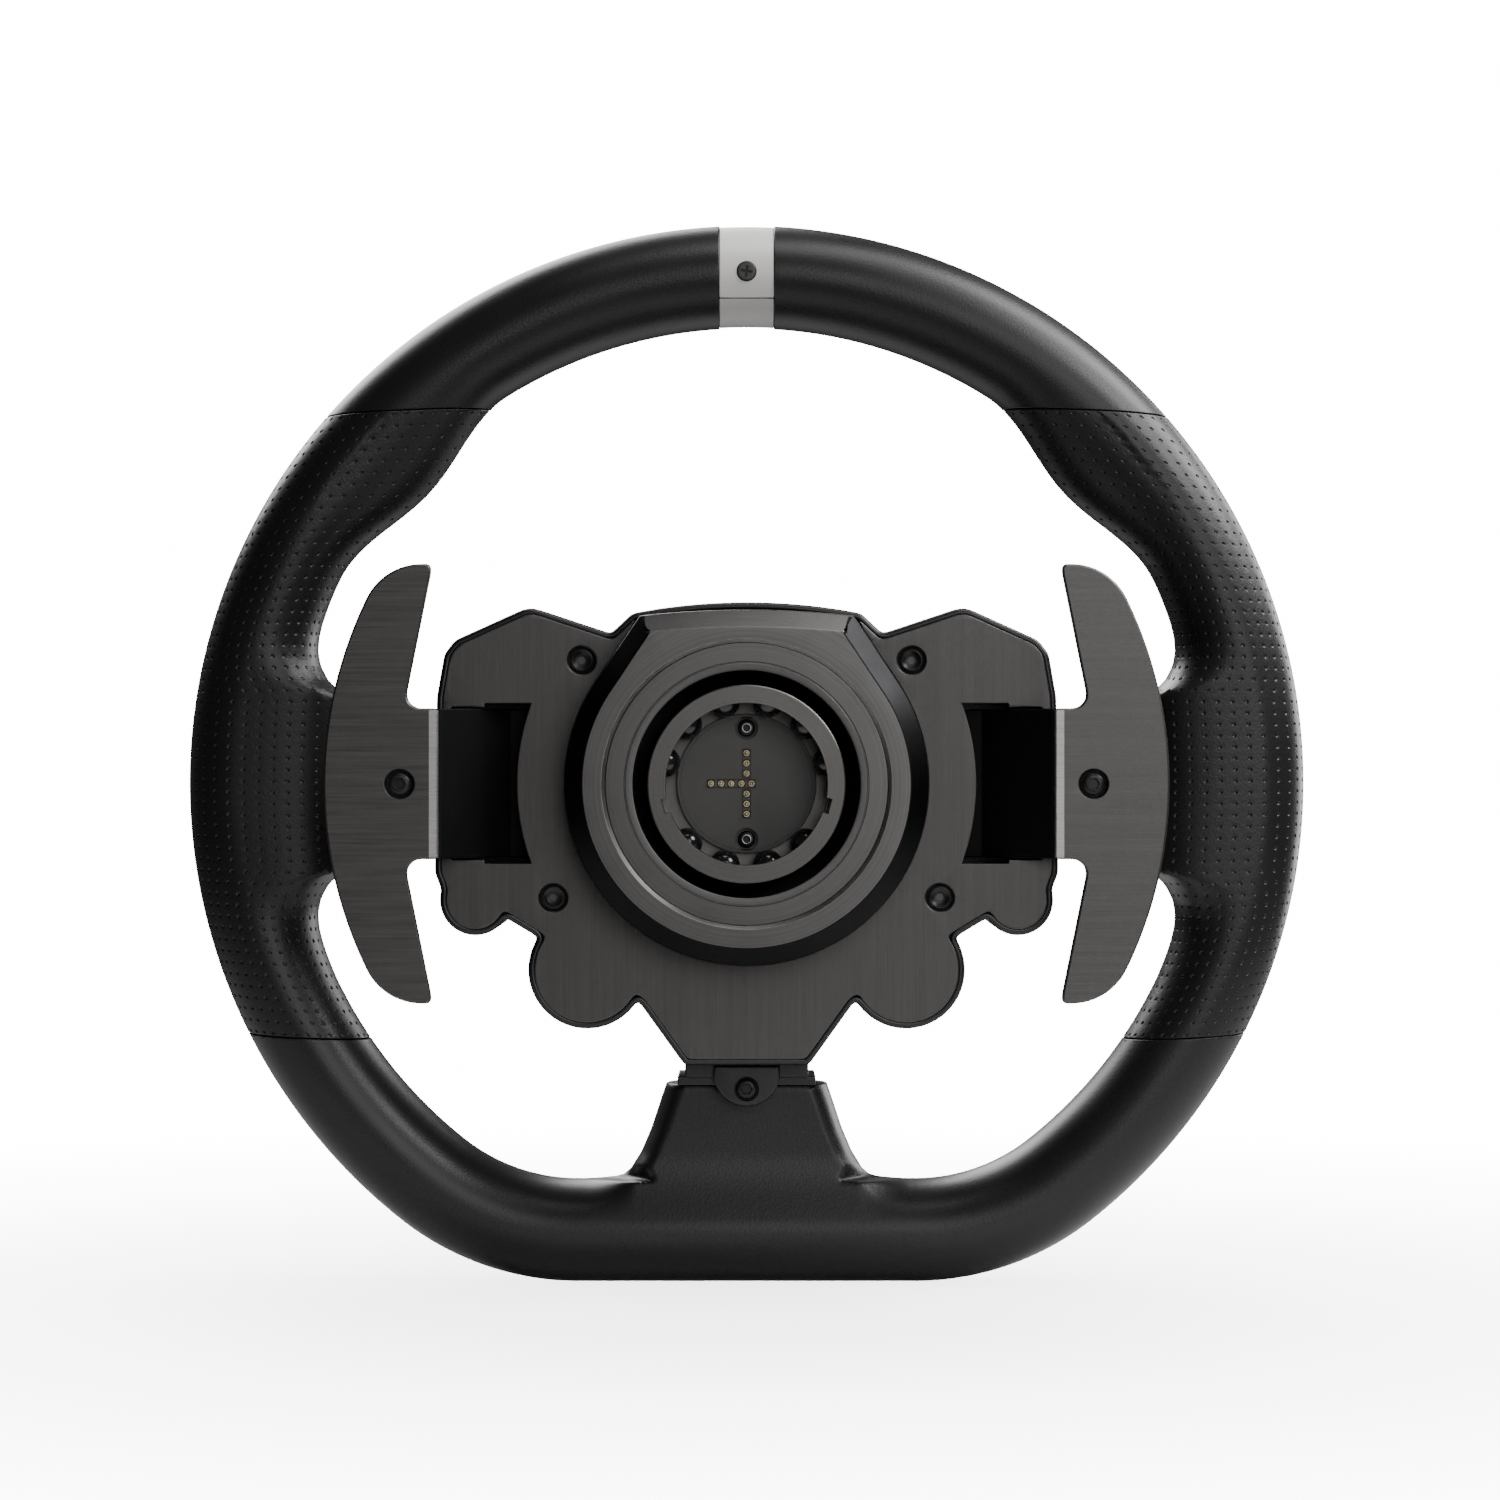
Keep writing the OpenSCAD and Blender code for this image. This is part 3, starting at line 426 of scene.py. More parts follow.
def fill(loops):
    """Triangles over the region between closed loops. Returns (points, triangles)."""
    pts, edges = [], []
    for L in loops:
        k = len(pts)
        n = len(L)
        pts += [Vector((float(a), float(b))) for a, b in L]
        edges += [(k + i, k + (i + 1) % n) for i in range(n)]
    v, _, f, *_ = delaunay_2d_cdt(pts, edges, [], 0, 1e-6)
    arrs = [np.asarray(L, float) for L in loops]
    tri = []
    for t in f:
        p, q = v[t[1]] - v[t[0]], v[t[2]] - v[t[0]]
        if abs(p.x * q.y - p.y * q.x) < 2e-5:
            continue  # a sliver, which would shade as a scratch
        c = (v[t[0]] + v[t[1]] + v[t[2]]) / 3
        if sum(inside(c.x, c.y, L) for L in arrs) % 2:
            tri.append(tuple(t))
    return [(p.x, p.y) for p in v], tri


def at_depth(P, d, place=None):
    return [(x, y, d) if place is None else place(x, y, d) for x, y in P]


class Builder:
    """Collects the faces of one piece. A profile is a list of (inset, depth) points, and an inset
    moves a wall into its material."""

    def __init__(self):
        self.v = []
        self.f = []
        self.m = []

    def add(self, verts, faces, mat=0):
        k = len(self.v)
        self.v += [tuple(p) for p in verts]
        self.f += [tuple(k + i for i in f) for f in faces]
        self.m += [mat] * len(faces)

    def strip(self, rings, mat=0):
        """Quads between successive closed rings of equal length."""
        k = len(self.v)
        n = len(rings[0])
        for r in rings:
            self.v += [tuple(p) for p in r]
        for j in range(len(rings) - 1):
            for i in range(n):
                a, b = k + j * n + i, k + j * n + (i + 1) % n
                self.f.append((a, b, b + n, a + n))
                self.m.append(mat)

    def cap(self, loops, d, mat=0, place=None):
        """A flat face over the region between loops."""
        p, t = fill(loops)
        self.add(at_depth(p, d, place), t, mat + FLAT)

    def wall(self, loop, prof, mat=0, place=None):
        """Follows a profile round a loop. Returns the first and the last outline."""
        rings = [offset(loop, t) for t, _ in prof]
        self.strip([at_depth(R, d, place) for R, (_, d) in zip(rings, prof)], mat)
        return rings[0], rings[-1]

    def plate(self, walls, mat=0, top=True, place=None, wall_mats=None, pits=(), bottom=True):
        """Capped walls, each a loop with its profile, from the first face to the last one.
        A pit is the same, but ends in a floor of its own."""
        tops, bottoms = [], []
        for i, (loop, prof) in enumerate(list(walls) + list(pits)):
            wm = wall_mats[i] if wall_mats else mat
            first, last = self.wall(loop, prof, wm, place)
            tops.append(first)
            if i < len(walls):
                bottoms.append(last)
            else:
                self.cap([last], prof[-1][1], wm, place)
        prof = walls[0][1]
        if top:
            self.cap(tops, prof[0][1], mat, place)
        if bottom:
            self.cap(bottoms, prof[-1][1], mat, place)

    def revolve(self, profile, c=(0, 0), n=96, mat=0):
        """Turns (radius, depth) points about the axis through c. Radius 0 closes the surface."""
        self.strip([at_depth(circle(c, r, n), d) for r, d in profile], mat)

    def done(self, name, mats, body, replaces=(), sharp=32, weighted=True):
        finish_mesh(name, self.v, self.f, self.m, mats, body, replaces, sharp, weighted)


def round_edge(d0, d1, r0, r1, seg=4):
    """A wall profile between depths d0 and d1 with rounded ends of radius r0 and r1."""
    out = []
    for k in range(seg + 1):
        t = math.radians(90 * k / seg)
        out.append((r0 * (1 - math.sin(t)), d0 + r0 * (1 - math.cos(t))))
    for k in range(seg + 1):
        t = math.radians(90 * k / seg)
        out.append((r1 * (1 - math.cos(t)), d1 - r1 * (1 - math.sin(t))))
    return out

# ---------------------------------------------------------------- rim

THUMB_SLIM = 0.06  # the thumb rest is this much shallower for each millimetre it reaches in


def half_section(rest=0.0, inset=0.0):
    """Points (n, h) from the tube's outer crest to its inner edge, rest further in than a plain tube."""
    t = np.linspace(0, math.pi, 181)
    outer, inner, deep = TUBE - inset, TUBE + rest - inset, TUBE_D - THUMB_SLIM * rest - inset
    return np.stack([np.where(t < math.pi / 2, outer * np.cos(t), inner * np.cos(t)), deep * np.sin(t)], 1)


def along(P, N, closed=False):
    """N steps of equal length along a polyline. A closed one leaves out the point that repeats."""
    s = np.concatenate([[0], np.cumsum(np.linalg.norm(np.diff(P, axis=0), axis=1))])
    t = np.linspace(0, s[-1], N, endpoint=False) if closed else np.linspace(0, s[-1], N + 1)
    return np.stack([np.interp(t, s, P[:, k]) for k in range(P.shape[1])], 1)


def ring(c, n, sec, N):
    """A closed ring of 2N bench points round the path point c with outward direction n."""
    P = along(sec, N)
    back = P[-2:0:-1]
    h = np.concatenate([-P[:, 1], back[:, 1]])
    t = np.concatenate([P[:, 0], back[:, 0]])
    return np.stack([c[0] + n[0] * t, c[1] + n[1] * t, RIM_D + h], 1)


def at_angle(a):
    t = math.radians(a)
    n = (math.cos(t), math.sin(t))
    return (RIM_C * n[0], RIM_C * n[1]), n


def thumb(a):
    """How far the thumb rest reaches in at angle a."""
    w = abs(a - 42.5) / 15.5
    return 0.0 if w >= 1 else 6.7 * (0.5 + 0.5 * math.cos(math.pi * w)) ** 0.9


# The padding's edge over the spoke's root: height above the spoke, and how far it reaches in there
ROOT_EDGE = ([0, 27.0, 28.6, 29.8, 32.4, 36.0, 39.7, 43.7, 47.5, 53.2, 59.7, 90],
             [40, 36, 28.0, 23.6, 20.0, 17.2, 15.5, 14.6, 14.2, 13.95, 13.8, 13.8])
ROOT_X = 106.2  # the padding's straight end, from the axis


def reach(a):
    """How far the grip reaches in at angle a: to the root's padding, or to the thumb rest."""
    t = math.radians(a)
    root = float(np.interp(abs(RIM_C * math.sin(t)), *ROOT_EDGE))
    return min(root, RIM_C - ROOT_X / math.cos(t)) if root > TUBE + 0.06 else TUBE + thumb(a)


def grip_section(a):
    """An oval whose inner half grows squarer as it reaches further in."""
    L = reach(a)
    t = min(1.0, max(0.0, (L - TUBE) / 14.0))
    p = 2.0 + (1.2 * t * t * (3 - 2 * t) if abs(a) < 27 else 0.0)
    q = np.linspace(0, math.pi / 2, 160)
    outer = np.stack([TUBE * np.cos(q), np.sin(q) * TUBE_D], 1)
    deep = TUBE_D - THUMB_SLIM * thumb(a)
    inner = np.stack([-L * np.sin(q) ** (2 / p), np.cos(q) ** (2 / p) * deep], 1)
    return np.vstack([outer, inner[1:]])


def lips(bm, edges, normal, steps):
    """Turns an open edge in: each step moves the newest edge along normal and into the surface."""
    bm.normal_update()
    inward = {}
    for v in {v for e in edges for v in e.verts}:
        d = -(v.normal - normal * v.normal.dot(normal))
        inward[v] = d.normalized() if d.length > 1e-6 else Vector((0, 0, 0))
    for out, inn in steps:
        grown = bmesh.ops.extrude_edge_only(bm, edges=edges)["geom"]
        fresh = {g for g in grown if isinstance(g, bmesh.types.BMVert)}
        moved = {}
        for v in fresh:
            near = [e.other_vert(v) for e in v.link_edges]
            moved[v] = next((inward[w] for w in near if w in inward and (w.co - v.co).length < 1e-9),
                            Vector((0, 0, 0)))
        for v, d in moved.items():
            v.co += normal * out + d * inn
        inward = moved
        edges = [g for g in grown if isinstance(g, bmesh.types.BMEdge)
                 and g.verts[0] in fresh and g.verts[1] in fresh]


def cut(bm, point, normal, lip=None):
    """Removes what lies beyond a bench plane, then turns the new edge in."""
    co = Vector(row(*point))
    no = Vector((normal[0], -normal[2], normal[1])).normalized()
    g = list(bm.verts) + list(bm.edges) + list(bm.faces)
    r = bmesh.ops.bisect_plane(bm, geom=g, plane_co=co, plane_no=no, dist=1e-7, clear_outer=True)
    ed = [e for e in r["geom_cut"] if isinstance(e, bmesh.types.BMEdge) and e.is_boundary]
    if lip and ed:
        lips(bm, ed, no, lip)


LIP = [(0.00012, 0.00004), (0.0001, 0.00012), (0.00004, 0.00024), (0.0, 0.0022)]


def rim_piece(name, rings, mat, cuts, replaces, flip=False, twin=False):
    """A tube of rings. See rim_mesh for the rest."""
    n = len(rings[0])
    F = [(j * n + i, j * n + (i + 1) % n, (j + 1) * n + (i + 1) % n, (j + 1) * n + i)
         for j in range(len(rings) - 1) for i in range(n)]
    rim_mesh(name, np.vstack(rings), F, mat, cuts, replaces, flip, twin)


def rim_mesh(name, V, F, mat, cuts, replaces, flip=False, twin=False, sharp=50):
    """A piece of the rim, cut at planes. flip mirrors it to the driver's left, twin adds its mirror."""
    me = bpy.data.meshes.new(name)
    me.from_pydata([row(*v) for v in V], [], F)
    bm = bmesh.new()
    bm.from_mesh(me)
    bmesh.ops.remove_doubles(bm, verts=bm.verts, dist=3e-6)
    bmesh.ops.recalc_face_normals(bm, faces=bm.faces)
    for point, normal in cuts:
        cut(bm, point, normal, LIP)
    if twin:
        copy = bmesh.ops.duplicate(bm, geom=list(bm.verts) + list(bm.edges) + list(bm.faces))["geom"]
        for g in copy:
            if isinstance(g, bmesh.types.BMVert):
                g.co.x = -g.co.x
        bmesh.ops.reverse_faces(bm, faces=[g for g in copy if isinstance(g, bmesh.types.BMFace)])
        bmesh.ops.remove_doubles(bm, verts=bm.verts, dist=3e-6)
    if flip:
        for v in bm.verts:
            v.co.x = -v.co.x
        bmesh.ops.reverse_faces(bm, faces=bm.faces)
    for f in bm.faces:
        f.smooth = True
    bm.to_mesh(me)
    bm.free()
    keep_flats(place_mesh(name, me, mat, "wheel", replaces, sharp), 90)


TILT = math.radians(2.8)  # the seams' lean
COVER_GAP, GRIP_GAP = 0.22 + 0.26, 0.22 + 0.06  # how far the two pieces stop short of a seam
STRIPE_X = 7.55  # where the top covers stop beside the stripe
# a point and the upward normal of the seam above and of the seam below the right grip
TOP_P, LOW_P = (91, 99.2, RIM_D), (118, -67.8, RIM_D)
top_n = (math.sin(TILT), math.cos(TILT), 0)
low_n = (-math.sin(TILT), math.cos(TILT), 0)


def shift(p, n, t):
    return (p[0] + n[0] * t, p[1] + n[1] * t, RIM_D)


def neg(n):
    return (-n[0], -n[1], -n[2])


# smooth covers over the top, from the stripe to the seam over each grip
SIDES = (("right", 1), ("left", -1))
top_rings = [ring(*at_angle(a), half_section(thumb(a)), 40) for a in np.arange(30, 90.5, 0.75)]
for side, s in SIDES:
    rim_piece(side + "_top_wrap", top_rings, "wrap",
              [((STRIPE_X, 0, 0), (-1, 0, 0)), (shift(TOP_P, top_n, COVER_GAP), neg(top_n))],
              [side + "_top_cover"], flip=s < 0)


# dimpled grips
def grip_rows(levels, fine):
    """Closed rings round the grip, in planes that turn from the low seam's to the top seam's."""
    angles = np.arange(-40, 66.01, 0.25)
    q = 0.5 - 0.5 * np.cos(np.linspace(0, math.pi, 200))
    inner = np.array([reach(a) for a in angles])
    table = []
    for a, L in zip(angles, inner):
        sec = grip_section(a)[::-1]
        k = np.maximum.accumulate((sec[:, 0] + L) / (L + TUBE))
        table.append(np.interp(q, k, sec[:, 1] ** 2))
    table = np.array(table)
    out = []
    for t in levels:
        mid = LOW_P[1] + (TOP_P[1] - LOW_P[1]) * t
        slope = math.tan(TILT) * (1 - 2 * t)
        mid_x = LOW_P[0] + (TOP_P[0] - LOW_P[0]) * t
        x = np.linspace(60.0, 152.0, 2400)
        up = mid + slope * (x - mid_x)
        r, ang = np.hypot(x, up), np.degrees(np.arctan2(up, x))
        Lx = np.interp(ang, angles, inner)
        within = (r > RIM_C - Lx) & (r < RIM_C + TUBE)
        x0, x1 = x[within][0] - 0.02, x[within][-1] + 0.02
        x = x0 + (x1 - x0) * (0.5 - 0.5 * np.cos(np.linspace(0, math.pi, 500)))
        up = mid + slope * (x - mid_x)
        r, ang = np.hypot(x, up), np.degrees(np.arctan2(up, x))
        Lx = np.interp(ang, angles, inner)
        k = np.clip((r - RIM_C + Lx) / (Lx + TUBE), 0, 1)
        i = np.clip(((ang - angles[0]) / 0.25).astype(int), 0, len(angles) - 2)
        f = np.clip((ang - angles[i]) / 0.25, 0, 1)
        pos = np.arccos(1 - 2 * k) / math.pi * (len(q) - 1)
        j = np.clip(pos.astype(int), 0, len(q) - 2)
        g = pos - j
        h2 = ((table[i, j] * (1 - g) + table[i, j + 1] * g) * (1 - f)
              + (table[i + 1, j] * (1 - g) + table[i + 1, j + 1] * g) * f)
        h = np.sqrt(np.clip(h2, 0, None))
        h[0] = h[-1] = 0
        rear = np.stack([x, up, RIM_D - h], 1)[::-1]
        front = np.stack([x, up, RIM_D + h], 1)[1:-1]
        out.append(along(np.vstack([rear, front, rear[:1]]), fine, closed=True))
    return np.array(out)


PIT = [(0.68, 0.0), (0.55, -0.09), (0.30, -0.26)]  # (radius, depth) of a dimple's rings
PIT_FLOOR = -0.30


def grip_mesh():
    """The grip's surface as square tiles with a round pit in each."""
    J, fine, rows, per = 32, 384, 55, 8  # tiles round, steps round, rows, planes to a row
    angles = np.linspace(-0.04, 1.04, (rows + 4) * per + 1)
    G = grip_rows(angles, fine)
    du = np.gradient(G, axis=0)
    dv = np.roll(G, -1, 1) - np.roll(G, 1, 1)
    nrm = np.cross(dv, du)
    nrm /= np.maximum(np.linalg.norm(nrm, axis=2, keepdims=True), 1e-9)
    if np.sum((G[100] - G[100].mean(0)) * nrm[100]) < 0:
        nrm = -nrm

    def look(tab, s, v):
        """The table's value at row s and at the share v of the way round."""
        s = np.clip(s, 0, len(angles) - 1.001)
        i = s.astype(int)
        fs = (s - i)[..., None]
        v = np.mod(v, 1.0) * fine
        j = v.astype(int) % fine
        fv = (v - np.floor(v))[..., None]
        j1 = (j + 1) % fine
        i1 = i + 1
        return (tab[i, j] * (1 - fs) * (1 - fv) + tab[i1, j] * fs * (1 - fv)
                + tab[i, j1] * (1 - fs) * fv + tab[i1, j1] * fs * fv)

    K = rows + 4
    k, j = np.meshgrid(np.arange(K), np.arange(J), indexing="ij")
    cs, cv = (k + 0.5) * per, (j + 0.5) / J
    # the tile's own size, so that the pits stay round
    wide = np.linalg.norm(look(G, cs, cv + 0.5 / J) - look(G, cs, cv - 0.5 / J), axis=2)
    tall = np.linalg.norm(look(G, cs + per / 2, cv) - look(G, cs - per / 2, cv), axis=2)
    pts = np.zeros((K, J, 33, 3))
    for i, (a, b) in enumerate([(1, 0), (1, 1), (0, 1), (-1, 1), (-1, 0), (-1, -1), (0, -1), (1, -1)]):
        pts[:, :, i] = look(G, cs + b * per / 2, cv + a * 0.5 / J)
    for ri, (rad, dep) in enumerate(PIT):
        for i in range(8):
            t = math.radians(45 * i)
            s = cs + rad * math.sin(t) / tall * per
            v = cv + rad * math.cos(t) / wide / J
            pts[:, :, 8 + ri * 8 + i] = look(G, s, v) + look(nrm, s, v) * dep
    pts[:, :, 32] = look(G, cs, cv) + look(nrm, cs, cv) * PIT_FLOOR
    faces = []
    for i in range(8):
        i1 = (i + 1) % 8
        faces += [(8 * r + i, 8 * r + i1, 8 * r + 8 + i1, 8 * r + 8 + i) for r in range(3)]
        faces.append((24 + i, 24 + i1, 32))
    F = [tuple(33 * q + x for x in f) for q in range(K * J) for f in faces]
    return pts.reshape(-1, 3), F


GV, GF = grip_mesh()
for side, s in SIDES:
    rim_mesh(side + "_grip_wrap", GV, GF, "grip",
             [(shift(TOP_P, top_n, -GRIP_GAP), top_n), (shift(LOW_P, low_n, GRIP_GAP), neg(low_n))],
             [side + "_grip"], flip=s < 0, sharp=70)

# bottom cover with its flare
# Half width of the flare and how far it reaches up from the rim's centreline there
FLARE = ([0, 21.6, 23.2, 25.6, 28.3, 31.2, 33.1, 36.0, 40.0, 44.0, 400],
         [39.7, 39.7, 35.0, 27.7, 21.3, 16.6, 15.1, 14.25, 13.95, 13.8, 13.8])


def low_path(t):
    """Path point and outward direction at t millimetres from the bottom middle, on the right."""
    if t <= CX:
        return (t, -FLAT_C), (0.0, -1.0)
    t -= CX
    full = math.radians(90 + CA) * CORNER_R
    if t <= full:
        a = math.radians(-90) + t / CORNER_R
        n = (math.cos(a), math.sin(a))
        return (CX + CORNER_R * n[0], CU + CORNER_R * n[1]), n
    a = math.radians(CA) + (t - full) / RIM_C
    n = (math.cos(a), math.sin(a))
    return (RIM_C * n[0], RIM_C * n[1]), n


FLARE_T = 10.4  # half thickness of the flare
FLARE_R = 5.5  # rounding of its sides


def flare_section(t):
    """The tube's section with the flare standing on it, t millimetres from the middle."""
    L = max(TUBE, float(np.interp(t, *FLARE)))
    m = np.linspace(TUBE, -TUBE, 320)
    if L > TUBE:
        m = np.concatenate([m, np.linspace(-TUBE, -L, 160)[1:]])
    tube = TUBE_D * np.sqrt(np.clip(1 - (m / TUBE) ** 2, 0, 1))
    start, end = -4.0, -22.0  # where the flare's face leaves the tube, and where it is flat
    h0 = TUBE_D * math.sqrt(1 - (start / TUBE) ** 2)
    slope = TUBE_D * -start / TUBE ** 2 / math.sqrt(1 - (start / TUBE) ** 2)
    u = np.clip((m - start) / (end - start), 0, 1)
    face = (h0 * (1 + 2 * u) * (1 - u) ** 2 + slope * (end - start) * u * (1 - u) ** 2
            + FLARE_T * u * u * (3 - 2 * u))
    face = np.where(m > start, tube, face)
    top = np.clip(-m - (FLARE[1][0] - 1.0), 0, 1)
    face = face - (1 - np.sqrt(1 - top * top))
    half = np.where(-m > TUBE, np.interp(-m, FLARE[1][:0:-1], FLARE[0][:0:-1]), 44.0)
    low = np.clip(1 - (-m - TUBE) / 4, 0, 1)
    s = np.clip((half - t) / (FLARE_R + 9 * low ** 2), 0, 1)
    s = (1 - low) * np.sqrt(1 - (1 - s) ** 2) + low * s * s * (3 - 2 * s)
    h = tube + (face - tube) * s
    return np.vstack([np.stack([m, h], 1), [[m[-1], 0.0]]])


FLARE_END = 46
ts = np.concatenate([np.arange(0, 16, 1.0), np.arange(16, FLARE_END, 0.35), np.arange(FLARE_END, 160, 1.4)])
half_rings = [ring(*low_path(float(t)), flare_section(t) if t < FLARE_END else half_section(), 72)
              for t in ts]
rim_piece("bottom_wrap", half_rings, "wrap", [(shift(LOW_P, low_n, -COVER_GAP), low_n)],
          ["bottom_cover"], twin=True)

# centre stripe, in two clips with a seam between them
stripe_rings = [ring(*at_angle(a), half_section(inset=0.35), 48) for a in np.arange(85, 95.1, 0.25)]
side_cuts = [((x, 0, 0), (x, 0, 0)) for x in (7.3 - 0.26, 0.26 - 7.3)]
# the inner clip is drawn in a darker grey as painted shade
for part, mat, u, way in (("outer", "stripe", 129.65, -1), ("inner", "stripe_low", 128.95, 1)):
    rim_piece("stripe_clip_" + part, stripe_rings, mat, side_cuts + [((0, u, 0), (0, way, 0))],
              ["stripe_" + part])


def cross_loop(w, l):
    """A plus sign whose arms are 2w wide and reach l from its middle."""
    return [(-w, -l), (w, -l), (w, -w), (l, -w), (l, w), (w, w), (w, l), (-w, l), (-w, w), (-l, w),
            (-l, -w), (-w, -w)]


def cross_screw(name, c, d, r, body, replaces):
    """A pan-head screw with a cross recess, seen from the rear."""
    b = Builder()
    co, si = math.cos(0.15), math.sin(0.15)
    cross = [(c[0] + x * co - y * si, c[1] + x * si + y * co) for x, y in cross_loop(r * 0.13, r * 0.62)]
    b.plate([(ccw(circle(c, r, 48)), round_edge(d, d + 1.6, 0.25, 0.05))],
            pits=[(cw(cross), [(0, d), (0.06, d + 0.3)])], wall_mats=[0, 1])
    # the cross recess is drawn in near-black as painted shade
    b.done(name, ["screw_face", "dark"], body, replaces)


cross_screw("stripe_screw_head", (0, RIM_C), 35.95, 2.5, "wheel", ["stripe_screw"])
b = Builder()
# the counterbore round the stripe screw, near-black as painted shade
b.revolve([(2.45, 36.3), (2.6, 36.2), (2.72, 36.4), (2.55, 36.9), (2.5, 39)], (0, RIM_C), 48)
b.done("stripe_screw_seat", "dark", "wheel")

# ---------------------------------------------------------------- hub outlines

def hub_half():
    arch = [(x, 47.8 - 158 + math.sqrt(158 ** 2 - x * x)) for x in np.linspace(0, 30.2, 24)]
    small = arc(THUMB_KEY, 9.4, 17, -149, 40)
    big = arc(DIAL, 15.6, 33, -147.5, 60)
    return (arch + [(35.8, 39.6), (54.8, 45.9), (56.8, 46.3), (59.0, 45.9), (76.9, 37.8), (79.7, 34.2),
                    (81.7, 22.7), (82.2, -23.7), (80.6, -27.6)] + small + [(62.0, -36.4), (55.7, -40.2)]
            + big + [(28.2, -57.9), (16.4, -74.3), (0, -74.3)])


def hub_loop(inset):
    P = ccw(mirrored(hub_half()))
    return ccw(smooth(offset(P, inset), 0.45, 0.85))


def sleeve_loop(inset):
    """A circle whose top is drawn out to two corners and cropped by an arch."""
    r, cx, cu = 47.3, 27.7, 43.7
    dist = math.hypot(cx, cu)
    base = math.degrees(math.atan2(cu, cx))
    tang = base - math.degrees(math.acos(r / dist))
    low = arc((0, 0), r, -90, tang, 120)
    x, y = low[-1]
    low += [(x + (cx - x) * k / 12, y + (cu - y) * k / 12) for k in range(1, 12)]
    top = [(x, 45.2 - 250 + math.sqrt(250 ** 2 - x * x)) for x in np.linspace(cx, 0, 24)]
    half = low + top
    P = half + [(-x, y) for x, y in half[-2:0:-1]]
    return offset(ccw(P), inset)


def slot_loop(side):
    """The blade's opening in the plate, with a round inner end."""
    a0 = math.degrees(math.asin(21.1 / 60.5))
    P = arc((0, 0), 60.5, -a0, a0, 24)
    P += [(69, 21.1), (69, 20.1), (78, 20.1), (78, -20.1), (69, -20.1), (69, -21.1)]
    P = fillet(P, [0] * 25 + [0.3, 0.3, 0.8, 0.8, 0.3, 0.3], seg=3)
    return cw([(side * x, y) for x, y in P])


PLATE_SCREWS = [(sx * x, y) for x, y in ((43.4, 32.4), (50.9, -30.0)) for sx in (1, -1)]

# ---------------------------------------------------------------- housing

b = Builder()
outer = hub_loop(0)
turn = [math.radians(t) for t in (15, 30, 45, 60, 75, 90)]
b.wall(outer, [(1.15, 24.35), (0.75, 24.42), (0.35, 24.7), (0.1, 25.2), (0, 25.9), (0, FRONT_D - 3.8)]
       + [(3.8 * (1 - math.cos(t)), FRONT_D - 3.8 + 3.8 * math.sin(t)) for t in turn])
b.wall(outer, [(1.15, 24.35), (1.5, 24.45), (1.62, 24.8), (1.62, 30), (2.4, 30.01), (2.4, SKIN_D)])

CROSS = ((0, 1), (1, 0), (0, -1), (-1, 0))
EAR = fillet([(-13, -2.5), (-10, 5.5), (2, 8), (12, 4), (14, -4), (8, -5.5)], 2.0, seg=5)
EAR_AT = (61.5, 31)


def ear(side, grow):
    P = offset(ccw(EAR), -grow)
    return [(side * (EAR_AT[0] + x), EAR_AT[1] + y) for x, y in P]


keys = [(sx * THUMB_KEY[0], THUMB_KEY[1], 5.5) for sx in (1, -1)]
keys += [(ACTION[0] + ACTION_STEP * dx, ACTION[1] + ACTION_STEP * dy, 5.0) for dx, dy in CROSS]
keys += [(*HOME, 5.8)]
key_edge = [(-0.5, FRONT_D), (-0.15, FRONT_D - 0.12), (0, FRONT_D - 0.45), (0, SKIN_D)]
front_holes = [(cw(circle((x, y), r, 48)), key_edge) for x, y, r in keys]
ear_edge = [(-0.4, FRONT_D), (0, FRONT_D - 0.12), (0, SKIN_D)]
front_holes += [(cw(ear(sx, 0.35)), ear_edge) for sx in (1, -1)]
mouths = [b.wall(L, prof) for L, prof in front_holes]
b.cap([offset(outer, 3.8)] + [first for first, _ in mouths], FRONT_D, 1)
b.cap([offset(outer, 2.4)] + [last for _, last in mouths], SKIN_D)
b.done("hub_housing", ["shell", "face"], "wheel", ["front_housing"], sharp=40)

# neck and collar under the hub
b = Builder()
neck = ccw(fillet([(-16.4, -70), (16.4, -70), (16.4, -78.3), (-16.4, -78.3)], 0.6, seg=3))
b.plate([(neck, round_edge(36, 62, 0.5, 0.8))])
coll = ccw(fillet([(-18.4, -78.0), (18.4, -78.0), (18.4, -80.55), (-18.4, -80.55)], 0.45, seg=3))
b.plate([(coll, round_edge(38, 61, 0.4, 0.6))])
b.done("hub_neck", "shell", "wheel")

# ---------------------------------------------------------------- rear plate

CROWN = 29.4  # half width of the gap that the sleeve's arch leaves at the top


def plate_outline():
    """The hub's outline inside its border, with the round opening for the sleeve joined to it at the top."""
    out = hub_loop(1.62)
    hole = sleeve_loop(-0.5)
    keep = []
    for P, back in ((out, False), (hole, True)):
        top = (np.abs(P[:, 0]) < CROWN) & (P[:, 1] > 30)
        k = int(np.argmax(P[:, 1]))
        Q = np.roll(P, -k, 0)[~np.roll(top, -k)]
        keep.append(Q[::-1] if back else Q)
    return ccw(smooth(np.vstack(keep), 0.35, 0.22))


def from_plate(profile):
    return [(t, PLATE_D + d) for t, d in profile]


walls = [(plate_outline(), from_plate([(0.42, 0), (0.16, 0.07), (0.03, 0.24), (0, 0.5), (0, 3)]))]
walls += [(slot_loop(s), from_plate([(0.3, 0), (0.08, 0.08), (0, 0.35), (0, 3)])) for s in (1, -1)]
dimple = from_plate([(0.22, 0), (0.03, 0.08), (-0.25, 0.5), (-0.75, 0.95), (-1.2, 1.05)])
b = Builder()
b.plate(walls, pits=[(cw(circle(p, 3.9, 56)), dimple) for p in PLATE_SCREWS])
b.done("hub_rear_plate", "plate", "wheel", ["rear_plate"], sharp=38)


